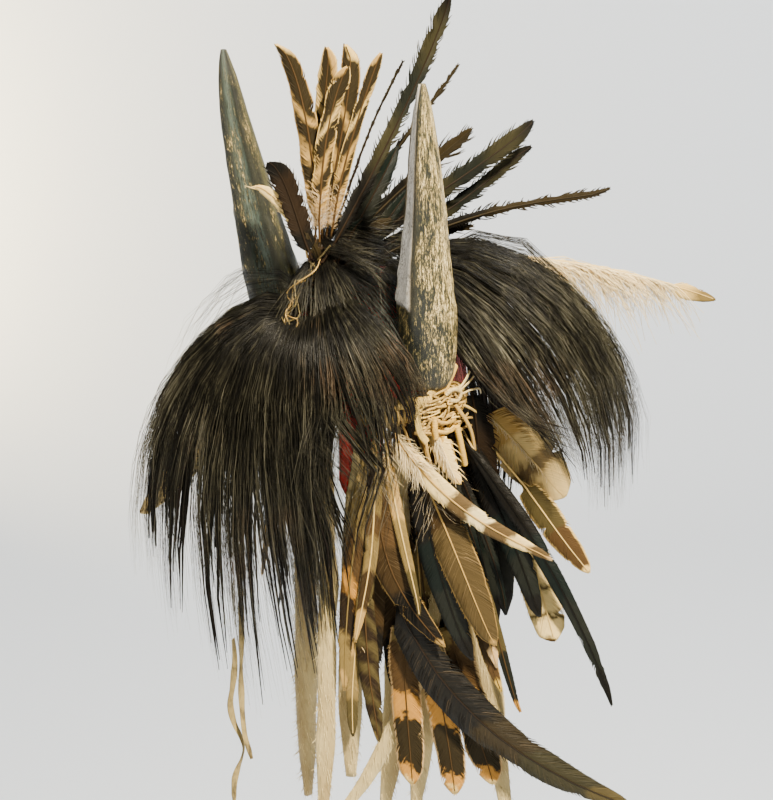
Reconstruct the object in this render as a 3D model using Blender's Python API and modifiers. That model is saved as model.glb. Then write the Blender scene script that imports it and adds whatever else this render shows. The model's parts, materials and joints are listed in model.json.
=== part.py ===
"""Horned war cap: a cloth skull cap with split horns, long hair, feathers and fur strips.

The origin is the centre of the cap's rim. +Z is up, -Y is the wearer's front and +X the
wearer's left. Headings are degrees in plan from the front towards the wearer's left.
Tables are in millimetres and degrees.
"""
import math
from collections import namedtuple

import bmesh
import bpy
import numpy as np

MM = 0.001
UP = np.array((0.0, 0.0, 1.0))

# Skull cap
CAP_HALF_WIDTH = 80.0
CAP_HALF_LENGTH = 98.0
CAP_BAND = 20.0
CAP_HEIGHT = 115.0
CAP_WALL = 2.5
CAP_SEGMENTS = 24
CAP_RINGS = 12
FIT = 0.45

# Crown tie: a wound neck that carries the crown feathers
NECK_X = -18.0
NECK_Y = -50.0
NECK_FOOT = 94.0
NECK_SIDES = 12
NeckRing = namedtuple("NeckRing", "rise radius")
NECK = (
    NeckRing(0, 12.5), NeckRing(8, 15.0), NeckRing(17, 13.5), NeckRing(28, 12.8),
    NeckRing(42, 12.0), NeckRing(52, 11.5), NeckRing(55, 9.5),
)

# Side ties: rolls that follow the rim under each horn
TIE_FROM = 32.0
TIE_TO = 102.0
TIE_STEPS = 12
TIE_SIDES = 8
TIE_HALF_DEPTH = 10.0
TIE_HALF_HEIGHT = 12.5
TIE_LEVEL = 6.0
TIE_OFFSET = TIE_HALF_DEPTH + 1.6
TIE_END_SIZE = 0.72
TIE_SWELL = 4.0
TIE_LUMP = 0.06

# Red cloth flap under the rim at the left temple
FLAP_FROM = 20.0
FLAP_TO = 46.0
FLAP_DROP = 86.0
FLAP_THICKNESS = 2.0
FLAP_HOLLOW = 2.5
FLAP_ROUND = 0.25
FLAP_COLUMNS = 6
FLAP_ROWS = 4

Finish = namedtuple("Finish", "colour roughness")
FINISHES = {
    "red_cloth": Finish((0.42, 0.02, 0.02), 0.9),
    "horn": Finish((0.42, 0.37, 0.24), 0.45),
    "dark_hair": Finish((0.02, 0.014, 0.011), 0.5),
    "sinew": Finish((0.5, 0.38, 0.2), 0.7),
    "owl_feather": Finish((0.62, 0.5, 0.36), 0.8),
    "dark_feather": Finish((0.015, 0.017, 0.02), 0.45),
    "brown_feather": Finish((0.12, 0.07, 0.04), 0.7),
    "white_down": Finish((0.8, 0.74, 0.62), 0.9),
    "cream_fur": Finish((0.75, 0.66, 0.48), 0.9),
    "hide": Finish((0.42, 0.3, 0.12), 0.75),
}

# Horn stations, from the rounded base to the tip, of the left horn
HornStation = namedtuple("HornStation", "x y z half channel")
HORN = (
    HornStation(84, -22, 20.5, 8, 0.0),
    HornStation(84.5, -23, 24, 17, 0.0),
    HornStation(86, -25, 33, 23.5, 0.0),
    HornStation(88, -28, 52, 26.5, 0.0),
    HornStation(91, -32, 76, 26.5, 0.1),
    HornStation(94.5, -37, 100, 26.5, 0.6),
    HornStation(97, -41, 122, 25.0, 1.0),
    HornStation(101, -46.5, 152, 22.2, 1.0),
    HornStation(106, -53, 190, 18.8, 1.0),
    HornStation(111, -60.5, 230, 15.6, 1.0),
    HornStation(114.5, -66.5, 264, 12.4, 1.0),
    HornStation(116.5, -70.5, 292, 8.8, 0.9),
    HornStation(118, -73, 310, 5.2, 0.5),
    HornStation(118.5, -74, 320, 2.4, 0.0),
)
# The channelled face looks forward and inward. The section is in units of the half size,
# from the channel's bed round to the middle of the back.
HORN_FACE = (-0.5, -0.866, 0.0)
HornCorner = namedtuple("HornCorner", "forward sideways")
HORN_SECTION = (
    HornCorner(0.70, 0.0), HornCorner(0.80, 0.33), HornCorner(0.97, 0.62),
    HornCorner(0.74, 0.90), HornCorner(0.20, 1.00), HornCorner(-0.45, 0.90),
    HornCorner(-0.86, 0.52), HornCorner(-1.00, 0.0),
)

# Locks of hair. Each leaves its root on the dome along its heading, rising at first, turns as
# it falls past its reach, and drops to its tip, which tucks back in or flares out. Hang is
# the share of the drop that is left where the lock passes its reach.
Lock = namedtuple("Lock", "root_x root_y heading turn rise hang reach tip_z tuck thick")
Curtain = namedtuple("Curtain", "lift part rows locks")
CURTAINS = {
    "hair_front": Curtain(75, 0.72, 9, (
        Lock(7, -57, 46, 14, 8, .60, 121, -14, 2, 7),
        Lock(4, -63, 34, 11, 8, .60, 120, -42, 3, 7),
        Lock(0, -69, 22, 8, 8, .60, 123, -178, 8, 7),
        Lock(-6, -73, 14, 2, 8, .60, 130, -225, 26, 7),
        Lock(-13, -76, 6, 2, 8, .60, 140, -293, 54, 8),
        Lock(-20, -76, -4, 0, 8, .60, 150, -284, 52, 8),
        Lock(-27, -74, -16, 0, 8, .60, 168, -310, 34, 9),
        Lock(-34, -71, -28, 0, 8, .60, 182, -258, 26, 10),
        Lock(-39, -66, -40, 0, 8, .60, 208, -225, 14, 11),
        Lock(-42, -59, -51, 0, 8, .60, 232, -190, 16, 12),
        Lock(-44, -52, -64, 0, 8, .60, 222, -172, 14, 10),
    )),
    "hair_back_left": Curtain(75, 0.80, 8, (
        Lock(19, -9, 94, 6, 0, .04, 120, -25, -103, 8),
        Lock(18, -2, 100, 4, 22, .45, 178, -80, -34, 9),
        Lock(17, 5, 108, 4, 44, .70, 226, -98, 6, 10),
        Lock(15, 12, 118, 3, 58, .80, 242, -96, 12, 12),
        Lock(12, 19, 129, 2, 58, .80, 256, -90, 6, 12),
        Lock(8, 25, 140, 0, 38, .78, 240, -92, 8, 10),
    )),
    "hair_back_right": Curtain(75, 0.80, 8, (
        Lock(-8, 25, -140, 0, 10, .55, 214, -118, 8, 10),
        Lock(-12, 19, -129, 0, 6, .50, 208, -130, 8, 11),
        Lock(-15, 12, -117, 0, 2, .42, 196, -124, 2, 11),
        Lock(-17, 5, -106, 0, 0, .32, 178, -110, -14, 10),
        Lock(-19, -3, -96, -3, 0, .20, 150, -80, -36, 8),
    )),
    "hair_nape": Curtain(60, 0.78, 8, (
        Lock(10, 46, 155, 0, 0, .62, 184, -150, 20, 8),
        Lock(8, 53, 167, 0, 0, .62, 180, -178, 26, 9),
        Lock(0, 57, 179, 0, 0, .62, 178, -190, 26, 9),
        Lock(-8, 53, 191, 0, 0, .62, 180, -178, 26, 9),
        Lock(-10, 46, 203, 0, 0, .62, 184, -150, 20, 8),
    )),
}
LOCK_TIP = 1.2
VALLEY_SHARE = 0.45
HAIR_ROOT_THICK = 4.5
HAIR_SWELL = 3.5
HAIR_UNDERSIDE = 0.6
TAPER_FROM = 0.55
EDGE_THICK = 2.0
EDGE_END = 0.88
EDGE_REACH = 0.25

# Fans hold feathers and strips whose blades lie in upright planes of one heading. A place in
# a fan is its distance across, its height, and its layer out of the plane, from the centre.
Fan = namedtuple("Fan", "x y z heading")
FANS = {
    "crown": Fan(NECK_X, NECK_Y, 110, 40),
    "sweep": Fan(NECK_X, NECK_Y, 110, 60),
    "back": Fan(10, 40, 110, 62),
    "left": Fan(103, 6, 2, 40),
    "right": Fan(-103, 6, 2, -40),
    "thong": Fan(-54, -133, 0, 40),
}
# Bend bows the shaft across its chord, stem is the bare share of it, blunt squares the tip
# and lead is the share of the vane on the far side of the shaft.
Feather = namedtuple("Feather", "name root tip bend width stem blunt lead")
Place = namedtuple("Place", "across up layer")
FEATHERS = {
    ("crown", "owl_feather"): (
        Feather("owl_feather_1", (-8, 40, 3), (-33, 226, 4), -9, 25, .10, 3.6, .50),
        Feather("owl_feather_2", (-4, 40, 7.5), (22, 205, 10), 8, 21, .12, 4.2, .50),
        Feather("owl_feather_3", (-2, 40, -6), (8, 220, -6), 3, 22, .12, 4.0, .50),
        Feather("owl_feather_4", (2, 40, -1.5), (32, 221, -1), 2, 25, .12, 5.0, .50),
        Feather("owl_feather_5", (6, 40, 3), (50, 217, 5), 4, 16, .12, 4.0, .50),
    ),
    ("crown", "brown_feather"): (
        Feather("brown_short_feather", (-11, 28, 19), (-45, 120, 17), -1, 24, .08, 9.0, .50),
    ),
    ("crown", "white_down"): (
        Feather("pale_curled_feather", (-15, 26, 10), (-58, 97, 11), -9, 18, .16, 2.6, .50),
    ),
    ("sweep", "dark_feather"): (
        Feather("raven_feather_long", (-8, 24, 19), (120, 264, 18), -5, 26, .08, 4.5, .60),
        Feather("raven_feather_teal", (4, 12, 17), (70, 125, 11), 3, 30, .10, 3.6, .45),
        Feather("raven_feather_thin", (8, 44, -3), (78, 203, -3), 2, 7, .20, 1.6, .50),
        Feather("raven_feather_narrow", (14, 36, 2), (132, 196, 2), 4, 12, .15, 1.8, .50),
        Feather("raven_feather_frayed", (14, 26, -3), (148, 133, -5), 2, 24, .10, 3.6, .50),
        Feather("raven_feather_upper", (14, 21, 5), (206, 138, 6), -3, 27, .10, 4.0, .50),
        Feather("raven_feather_olive", (13, 12, -6), (209, 114, -11), -13, 21, .10, 3.4, .50),
        Feather("raven_feather_twist", (12, 8, 12), (289, 60, -2), 14, 15, .10, 2.6, .50),
    ),
    ("back", "white_down"): (
        Feather("back_plume", (6, 4, 0), (329, -69, 0), 19, 34, .30, 2.2, .35),
    ),
    ("left", "owl_feather"): (
        Feather("side_feather_barred", (-68, -9, 40), (83, -136, 50), -16, 24, .08, 2.4, .50),
        Feather("side_feather_patched", (-86, -9, 43), (-112, -271, 40), -3, 22, .10, 2.6, .50),
        Feather("side_feather_tan", (-74, -9, 41), (-40, -194, 43), -2, 14, .12, 2.2, .50),
        Feather("side_feather_low", (-86, -9, 31), (-79, -325, 37), -9, 24, .50, 2.6, .50),
        Feather("side_feather_cream", (-9, -9, -4.5), (90, -235, 6), 9, 42, .45, 9.0, .50),
        Feather("side_feather_fan", (4, 2, -20), (97, -93, -4), 2, 56, .20, 4.0, .50),
    ),
    ("left", "white_down"): (
        Feather("side_feather_down", (-32, -9, 19.5), (-4, -66, 38), 0, 36, .10, 3.0, .50),
    ),
    ("left", "brown_feather"): (
        Feather("side_feather_brown", (-56, -9, 34.5), (32, -227, 36), -2, 42, .22, 3.4, .50),
        Feather("side_feather_orange", (-62, -9, 37), (-15, -228, 38), -37, 38, .10, 3.0, .50),
        Feather("side_feather_olive", (-4, -9, -11), (120, -169, 1), 4, 32, .45, 2.8, .50),
        Feather("side_feather_curl", (-38, -9, 14), (57, -306, 12), 3, 13, .45, 2.6, .50),
    ),
    ("left", "dark_feather"): (
        Feather("side_feather_black", (-50, -9, 31.5), (10, -246, 30), -8, 34, .18, 3.0, .50),
        Feather("side_feather_teal", (-26, -9, 14), (42, -199, 18), 5, 14, .10, 2.6, .50),
        Feather("side_feather_long", (-20, -9, 9), (142, -295, 26), 18, 19, .10, 3.0, .50),
        Feather("side_feather_blade", (-14, -9, 3), (75, -209, 12), 6, 30, .20, 3.0, .50),
        Feather("wing_feather", (-80, -9, 31), (167, -403, 18), -86, 45, .34, 4.0, .50),
        Feather("fan_feather_1", (-68, -9, 30), (-47, -384, 8), 1, 34, .50, 5.0, .50),
        Feather("fan_feather_2", (-56, -9, 24.5), (-3, -398, 4), -3, 34, .50, 5.0, .50),
        Feather("fan_feather_3", (-50, -9, 21.5), (32, -389, 0), -6, 42, .50, 4.0, .50),
    ),
    ("left", "hide"): (
        Feather("hide_tab_left", (-5, 17.5, -12), (-4, 48, -16), 2, 22, .06, 6.0, .50),
    ),
    ("right", "brown_feather"): (
        Feather("far_feather_brown", (-50, -9, 31.5), (14, -225, 34), -2, 40, .20, 3.4, .50),
    ),
    ("right", "owl_feather"): (
        Feather("far_feather_pale", (-26, -9, 14), (50, -163, 154), 8, 50, .25, 5.0, .50),
    ),
    ("right", "dark_feather"): (
        Feather("far_feather_long", (-38, -9, 14), (44, -276, 14), 8, 22, .15, 3.0, .50),
    ),
}
VANE_SHARES = (0.0, 0.10, 0.32, 0.56, 0.78, 0.93, 1.0)
QUILL_RADIUS = 1.3
SHAFT_TIP_RADIUS = 0.5
VANE_DROOP = 0.06
VANE_FOOT = 0.30
VANE_FILL = 0.22

# Fur strips, hanging from the ties and the rim, in the same fans
Strip = namedtuple("Strip", "name fan root tip bend width flat")
STRIPS = (
    Strip("fur_strip_1", "right", (-9, -9, -4.5), (-8, -457, -6), 3, 27, .84),
    Strip("fur_strip_2", "left", (-126, -4, 25), (-132, -412, 33), 3, 19, .36),
    Strip("fur_strip_3", "left", (-96, -9, 35), (-105, -372, 14), -3, 23, .30),
    Strip("fur_strip_4", "left", (-44, -9, 12), (-118, -425, -4), 50, 19, .34),
    Strip("fur_strip_5", "left", (-62, -9, 27), (-72, -425, -24), 8, 24, .34),
    Strip("fur_strip_6", "left", (-32, -9, 9.5), (-42, -425, -34), 8, 26, .34),
    Strip("fur_strip_7", "left", (-26, -9, 3), (46, -425, -12), 6, 24, .34),
)
STRIP_ROOT_SIZE = 0.24
STRIP_FILL = 3.5
STRIP_TAPER = 0.50
STRIP_WAVE = 0.06
STRIP_STATIONS = 9
STRIP_SIDES = 6

# Hide thongs that hang free, as places in the thong fan
THONGS = {
    "hide_thong_short": (
        (0, -142, 4), (1, -170, 2), (1, -200, 0), (1, -231, 0), (0, -262, 0), (0, -290, 0),
        (1, -312, 1), (3, -331, 2), (7, -346, 3), (9, -354, 3),
    ),
    "hide_thong_long": (
        (-7, -232, -3), (-6, -252, -4), (-7, -268, -4), (-9, -284, -4), (-11, -298, -4),
        (-10, -310, -4), (-7, -322, -5), (-2, -334, -6), (1, -346, -6), (-1, -357, -6),
        (-5, -368, -6), (-8, -379, -5), (-9, -391, -5), (-9, -404, -5),
    ),
}
THONG_RADIUS = 2.0
THONG_STEPS = 3


def remove_everything():
    for item in list(bpy.data.objects):
        bpy.data.objects.remove(item, do_unlink=True)


def new_collection(name):
    collection = bpy.data.collections.new(name)
    bpy.context.scene.collection.children.link(collection)
    return collection


def finish_material(name):
    material = bpy.data.materials.get(name)
    if material:
        return material
    finish = FINISHES[name]
    material = bpy.data.materials.new(name)
    material.use_nodes = True
    material.diffuse_color = (*finish.colour, 1.0)
    shader = material.node_tree.nodes["Principled BSDF"]
    shader.inputs["Base Color"].default_value = (*finish.colour, 1.0)
    shader.inputs["Roughness"].default_value = finish.roughness
    return material


def add_object(name, mesh, finish, collection):
    mesh.materials.append(finish_material(finish))
    mesh.shade_smooth()
    mesh.set_sharp_from_angle(angle=math.radians(50))
    item = bpy.data.objects.new(name, mesh)
    collection.objects.link(item)
    return item


def mesh_from(name, bm):
    bmesh.ops.recalc_face_normals(bm, faces=bm.faces)
    mesh = bpy.data.meshes.new(name)
    bm.to_mesh(mesh)
    bm.free()
    return mesh


def loft(name, rings):
    """A closed solid through rings of millimetre points, with flat ends."""
    bm = bmesh.new()
    rows = [[bm.verts.new(tuple(float(c) * MM for c in point)) for point in ring]
            for ring in rings]
    for low, high in zip(rows, rows[1:]):
        for i in range(len(low)):
            j = (i + 1) % len(low)
            bm.faces.new((low[i], low[j], high[j], high[i]))
    bm.faces.new(rows[0])
    bm.faces.new(rows[-1])
    return mesh_from(name, bm)


def unit(vector):
    return vector / np.linalg.norm(vector)


def heading_vector(degrees):
    angle = math.radians(degrees)
    return np.array((math.sin(angle), -math.cos(angle), 0.0))


def rim_point(degrees, offset):
    """A plan point outside the cap's rim by offset, on the given heading."""
    direction = heading_vector(degrees)
    across = direction[0] / (CAP_HALF_WIDTH + offset)
    along = direction[1] / (CAP_HALF_LENGTH + offset)
    return direction / math.hypot(across, along)


def dome_height(x, y):
    share = 1 - (x / CAP_HALF_WIDTH) ** 2 - (y / CAP_HALF_LENGTH) ** 2
    return CAP_BAND + (CAP_HEIGHT - CAP_BAND) * math.sqrt(max(share, 0.0))


def dome_mesh(name, grow, closed):
    """The cap's outer form, larger all round by grow, as a shell or closed below."""
    bm = bmesh.new()
    bmesh.ops.create_uvsphere(bm, u_segments=CAP_SEGMENTS, v_segments=CAP_RINGS, radius=1.0)
    low = [v for v in bm.verts if v.co.z < -0.01]
    bmesh.ops.delete(bm, geom=low, context="VERTS")
    for vert in bm.verts:
        vert.co.x *= (CAP_HALF_WIDTH + grow) * MM
        vert.co.y *= (CAP_HALF_LENGTH + grow) * MM
        vert.co.z = (vert.co.z * (CAP_HEIGHT - CAP_BAND + grow) + CAP_BAND) * MM
    rim = [e for e in bm.edges if e.is_boundary]
    band = bmesh.ops.extrude_edge_only(bm, edges=rim)["geom"]
    for vert in (g for g in band if isinstance(g, bmesh.types.BMVert)):
        vert.co.z = -grow * MM
    if closed:
        bmesh.ops.holes_fill(bm, edges=[e for e in bm.edges if e.is_boundary])
    return mesh_from(name, bm)


def make_cap(parts):
    cap = add_object("skull_cap", dome_mesh("skull_cap", 0.0, False), "red_cloth", parts)
    wall = cap.modifiers.new("wall", "SOLIDIFY")
    wall.thickness = CAP_WALL * MM
    wall.offset = -1.0
    wall.use_even_offset = True


def make_cutter(name, mesh, cutters):
    cutter = bpy.data.objects.new(name, mesh)
    cutters.objects.link(cutter)
    cutter.hide_render = True
    cutter.display_type = "WIRE"
    return cutter


def cut(item, cutter):
    modifier = item.modifiers.new("clear of " + cutter.name, "BOOLEAN")
    modifier.operation = "DIFFERENCE"
    modifier.solver = "EXACT"
    modifier.use_self = True
    modifier.object = cutter


def horn_corners(channel):
    """Section corners all the way round, blended from a circle to the channelled face."""
    half = []
    for corner in HORN_SECTION:
        reach = math.hypot(corner.forward, corner.sideways)
        half.append((corner.forward / reach * (1 - channel) + corner.forward * channel,
                     corner.sideways / reach * (1 - channel) + corner.sideways * channel))
    return half + [(forward, -sideways) for forward, sideways in reversed(half[1:-1])]


def horn_mesh(name, side, grow):
    centres = [np.array((side * s.x, s.y, s.z)) for s in HORN]
    face = np.array(HORN_FACE) * (side, 1, 1)
    rings = []
    for i, station in enumerate(HORN):
        ahead = centres[min(i + 1, len(HORN) - 1)]
        behind = centres[max(i - 1, 0)]
        along = unit(ahead - behind)
        forward = unit(face - along * face.dot(along))
        sideways = np.cross(along, forward)
        half = station.half + grow
        drop = -grow * UP if i == 0 else 0.0
        rings.append([centres[i] + drop + half * (f * forward + s * sideways)
                      for f, s in horn_corners(station.channel)])
    return loft(name, rings)


def make_horns(parts, cutters, cap_form):
    forms = []
    for name, side in (("horn_left", 1), ("horn_right", -1)):
        horn = add_object(name, horn_mesh(name, side, 0.0), "horn", parts)
        cut(horn, cap_form)
        forms.append(make_cutter(name + "_form", horn_mesh(name + "_form", side, FIT), cutters))
    return forms


def neck_mesh(name, grow):
    rings = []
    for ring in NECK:
        rise = NECK_FOOT + ring.rise + (grow if ring is NECK[-1] else 0.0)
        centre = np.array((NECK_X, NECK_Y, rise))
        rings.append([centre + (ring.radius + grow) * heading_vector(360 * i / NECK_SIDES)
                      for i in range(NECK_SIDES)])
    return loft(name, rings)


def tie_mesh(name, side):
    """A roll along the rim, thicker in the middle and lumpy from its windings."""
    rings = []
    for step in range(TIE_STEPS):
        share = step / (TIE_STEPS - 1)
        heading = TIE_FROM + (TIE_TO - TIE_FROM) * share
        outward = heading_vector(heading) * (side, 1, 1)
        centre = rim_point(heading, TIE_OFFSET) * (side, 1, 1) + TIE_LEVEL * UP
        end = min(1.0, TIE_END_SIZE + TIE_SWELL * min(share, 1 - share))
        lump = 1 - TIE_LUMP + TIE_LUMP * math.cos(math.pi * step)
        ring = []
        for i in range(TIE_SIDES):
            angle = 2 * math.pi * (i + 0.5) / TIE_SIDES
            ring.append(centre + TIE_HALF_DEPTH * end * lump * math.cos(angle) * outward
                        + TIE_HALF_HEIGHT * end * lump * math.sin(angle) * UP)
        rings.append(ring)
    return loft(name, rings)


def lock_controls(curtain, lock):
    """Four control points of a lock's fall, in millimetres."""
    away = heading_vector(lock.heading)
    turned = heading_vector(lock.heading + lock.turn)
    root = np.array((lock.root_x, lock.root_y, dome_height(lock.root_x, lock.root_y)))
    shoulder = root + curtain.lift * away + lock.rise * UP
    hang = lock.tip_z + lock.hang * (root[2] - lock.tip_z)
    fall = lock.reach * turned + hang * UP
    tip = (lock.reach - lock.tuck) * turned + lock.tip_z * UP
    return np.array((root, shoulder, fall, tip))


def bezier(controls, t):
    weights = np.array(((1 - t) ** 3, 3 * t * (1 - t) ** 2, 3 * t * t * (1 - t), t ** 3))
    return weights @ controls


def bezier_slope(controls, t):
    steps = controls[1:] - controls[:-1]
    return 3 * np.array(((1 - t) ** 2, 2 * t * (1 - t), t * t)) @ steps


def curtain_column(controls, end, thick, rows):
    """Outer and inner points down one lock or one valley between locks."""
    away = controls[3] - controls[0]
    level = unit(np.cross(UP, away))
    outer = []
    inner = []
    for row in range(rows):
        share = row / (rows - 1)
        point = bezier(controls, share * end)
        lift = unit(np.cross(bezier_slope(controls, share * end), level))
        swell = min(thick, HAIR_ROOT_THICK + HAIR_SWELL * share * thick)
        late = max(0.0, (share - TAPER_FROM) / (1 - TAPER_FROM))
        depth = max(LOCK_TIP, swell * (1 - late ** 1.5))
        outer.append(point + depth * lift)
        inner.append(point - HAIR_UNDERSIDE * depth * lift)
    return outer, inner


def curtain_mesh(name, curtain):
    """Locks side by side: a ridge down each, a valley between, and parted ends below."""
    controls = [lock_controls(curtain, lock) for lock in curtain.locks]
    first = controls[0] + EDGE_REACH * (controls[0] - controls[1])
    last = controls[-1] + EDGE_REACH * (controls[-1] - controls[-2])
    columns = [curtain_column(first, EDGE_END, EDGE_THICK, curtain.rows)]
    for i, lock in enumerate(curtain.locks):
        if i:
            middle = (controls[i - 1] + controls[i]) / 2
            thick = VALLEY_SHARE * (curtain.locks[i - 1].thick + lock.thick) / 2
            columns.append(curtain_column(middle, curtain.part, thick, curtain.rows))
        columns.append(curtain_column(controls[i], 1.0, lock.thick, curtain.rows))
    columns.append(curtain_column(last, EDGE_END, EDGE_THICK, curtain.rows))
    return layered_solid(name, [outer for outer, _ in columns], [inner for _, inner in columns])


def layered_solid(name, outer, inner):
    """A closed solid between two grids of points whose faces are split the same way."""
    bm = bmesh.new()
    above, below = ([[bm.verts.new(tuple(float(c) * MM for c in point)) for point in column]
                     for column in grid] for grid in (outer, inner))
    last = len(outer) - 1
    foot = len(outer[0]) - 1
    for i in range(last):
        for j in range(foot):
            split = np.linalg.norm(outer[i][j] - outer[i + 1][j + 1])
            other = np.linalg.norm(outer[i + 1][j] - outer[i][j + 1])
            for grid in (above, below):
                near, far = grid[i], grid[i + 1]
                if split < other:
                    bm.faces.new((near[j], far[j], far[j + 1]))
                    bm.faces.new((near[j], far[j + 1], near[j + 1]))
                else:
                    bm.faces.new((near[j], far[j], near[j + 1]))
                    bm.faces.new((far[j], far[j + 1], near[j + 1]))
        for j in (0, foot):
            bm.faces.new((above[i][j], above[i + 1][j], below[i + 1][j], below[i][j]))
    for i in (0, last):
        for j in range(foot):
            bm.faces.new((above[i][j], above[i][j + 1], below[i][j + 1], below[i][j]))
    return mesh_from(name, bm)


def fan_axes(fan):
    outward = heading_vector(fan.heading)
    across = np.cross(UP, outward) * (1 if fan.heading > 0 else -1)
    return across, outward


def fan_place(fan, place):
    across, outward = fan_axes(fan)
    place = Place(*place)
    centre = np.array((fan.x, fan.y, fan.z))
    return centre + place.across * across + place.up * UP + place.layer * outward


def chord_frame(fan, root, tip):
    """Unit vectors along a chord, across it in the fan's plane, and out of the plane."""
    across, outward = fan_axes(fan)
    along = unit(tip - root)
    flat = -along.dot(UP) * across + along.dot(across) * UP
    side = unit(flat - along * flat.dot(along))
    facing = np.cross(side, along)
    if facing.dot(outward) < 0:
        facing = -facing
    return along, side, facing


def vane_width(share, blunt):
    base = min(1.0, VANE_FOOT + share / VANE_FILL)
    return base * math.sqrt(max(0.0, 1.0 - share ** blunt))


def feather_mesh(feather, fan):
    root = fan_place(fan, feather.root)
    tip = fan_place(fan, feather.tip)
    side, facing = chord_frame(fan, root, tip)[1:]
    stations = [0.0] + [feather.stem + (1 - feather.stem) * s for s in VANE_SHARES]
    rings = []
    for t in stations:
        centre = root + (tip - root) * t + side * feather.bend * 4 * t * (1 - t)
        shaft = QUILL_RADIUS + (SHAFT_TIP_RADIUS - QUILL_RADIUS) * t
        share = (t - feather.stem) / (1 - feather.stem)
        width = shaft * 2
        if share > 0:
            width = max(width, feather.width * vane_width(share, feather.blunt))
        droop = VANE_DROOP * (width - shaft * 2)
        rings.append((centre - side * width * (1 - feather.lead) - facing * droop,
                      centre + facing * shaft,
                      centre + side * width * feather.lead - facing * droop,
                      centre - facing * shaft))
    return loft(feather.name, rings)


def make_feathers(parts):
    for (fan_name, finish), rows in FEATHERS.items():
        for feather in rows:
            mesh = feather_mesh(feather, FANS[fan_name])
            add_object(feather.name, mesh, finish, parts)


def strip_mesh(strip):
    fan = FANS[strip.fan]
    root = fan_place(fan, strip.root)
    tip = fan_place(fan, strip.tip)
    side, facing = chord_frame(fan, root, tip)[1:]
    rings = []
    for step in range(STRIP_STATIONS):
        t = step / (STRIP_STATIONS - 1)
        centre = root + (tip - root) * t + side * strip.bend * 4 * t * (1 - t)
        fill = STRIP_ROOT_SIZE + (1 - STRIP_ROOT_SIZE) * min(1.0, STRIP_FILL * t)
        fill *= 1.0 - STRIP_TAPER * t ** 8
        half = strip.width / 2 * fill * (1 + STRIP_WAVE * math.cos(9 * t))
        ring = []
        for i in range(STRIP_SIDES):
            angle = 2 * math.pi * i / STRIP_SIDES
            ring.append(centre + half * math.cos(angle) * side
                        + half * strip.flat * math.sin(angle) * facing)
        rings.append(ring)
    return loft(strip.name, rings)


def make_strips(parts):
    for strip in STRIPS:
        add_object(strip.name, strip_mesh(strip), "cream_fur", parts)


def smooth_route(points, steps):
    """Points read from a smooth curve that passes through the route's own points."""
    ends = [2 * points[0] - points[1], *points, 2 * points[-1] - points[-2]]
    route = []
    for before, start, stop, after in zip(ends, ends[1:], ends[2:], ends[3:]):
        for step in range(steps):
            t = step / steps
            route.append(0.5 * (2 * start + (stop - before) * t
                                + (2 * before - 5 * start + 4 * stop - after) * t ** 2
                                + (3 * start - before - 3 * stop + after) * t ** 3))
    route.append(points[-1])
    return route


def make_thongs(parts):
    for name, places in THONGS.items():
        points = [fan_place(FANS["thong"], place) for place in places]
        route = smooth_route(points, THONG_STEPS)
        curve = bpy.data.curves.new(name, "CURVE")
        curve.dimensions = "3D"
        curve.bevel_depth = THONG_RADIUS * MM
        curve.bevel_resolution = 2
        curve.use_fill_caps = True
        spline = curve.splines.new("POLY")
        spline.points.add(len(route) - 1)
        for place, point in zip(spline.points, route):
            place.co = (*(float(c) * MM for c in point), 1.0)
        curve.materials.append(finish_material("hide"))
        parts.objects.link(bpy.data.objects.new(name, curve))


def make_flap(parts):
    """A short drop of cloth that carries on the line of the cap's wall below the rim."""
    bm = bmesh.new()
    rows = []
    for row in range(FLAP_ROWS):
        share = row / (FLAP_ROWS - 1)
        line = []
        for column in range(FLAP_COLUMNS):
            across = column / (FLAP_COLUMNS - 1)
            heading = FLAP_FROM + (FLAP_TO - FLAP_FROM) * across
            corner = 1 - FLAP_ROUND * share * abs(2 * across - 1) ** 3
            depth = FIT + (FLAP_DROP - FIT) * share * corner
            hollow = FLAP_HOLLOW * share * math.sin(math.pi * across)
            point = rim_point(heading, -CAP_WALL / 2 - hollow) - depth * UP
            line.append(bm.verts.new(tuple(float(c) * MM for c in point)))
        rows.append(line)
    for low, high in zip(rows, rows[1:]):
        for i in range(FLAP_COLUMNS - 1):
            bm.faces.new((low[i], low[i + 1], high[i + 1], high[i]))
    flap = add_object("red_cloth_flap", mesh_from("red_cloth_flap", bm), "red_cloth", parts)
    wall = flap.modifiers.new("wall", "SOLIDIFY")
    wall.thickness = FLAP_THICKNESS * MM
    wall.offset = 0.0


def make_hair(parts, cap_form, neck_form, horn_forms):
    horn_left, horn_right = horn_forms
    near = {
        "hair_front": (cap_form, neck_form, horn_left, horn_right),
        "hair_back_left": (cap_form, horn_left),
        "hair_back_right": (cap_form, horn_right),
        "hair_nape": (cap_form,),
    }
    for name, curtain in CURTAINS.items():
        hair = add_object(name, curtain_mesh(name, curtain), "dark_hair", parts)
        for form in near[name]:
            cut(hair, form)


def main():
    remove_everything()
    parts = new_collection("horned_war_cap")
    cutters = new_collection("cutters")
    cap_form = make_cutter("cap_form", dome_mesh("cap_form", FIT, True), cutters)
    neck_form = make_cutter("neck_form", neck_mesh("neck_form", FIT), cutters)
    make_cap(parts)
    horn_forms = make_horns(parts, cutters, cap_form)
    neck = add_object("crown_tie", neck_mesh("crown_tie", 0.0), "sinew", parts)
    cut(neck, cap_form)
    for name, side in (("side_tie_left", 1), ("side_tie_right", -1)):
        add_object(name, tie_mesh(name, side), "sinew", parts)
    make_hair(parts, cap_form, neck_form, horn_forms)
    make_feathers(parts)
    make_strips(parts)
    make_thongs(parts)
    make_flap(parts)


main()
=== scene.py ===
import json
import math

import bmesh
import bpy
import numpy as np
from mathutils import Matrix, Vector
from mathutils.bvhtree import BVHTree


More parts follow.
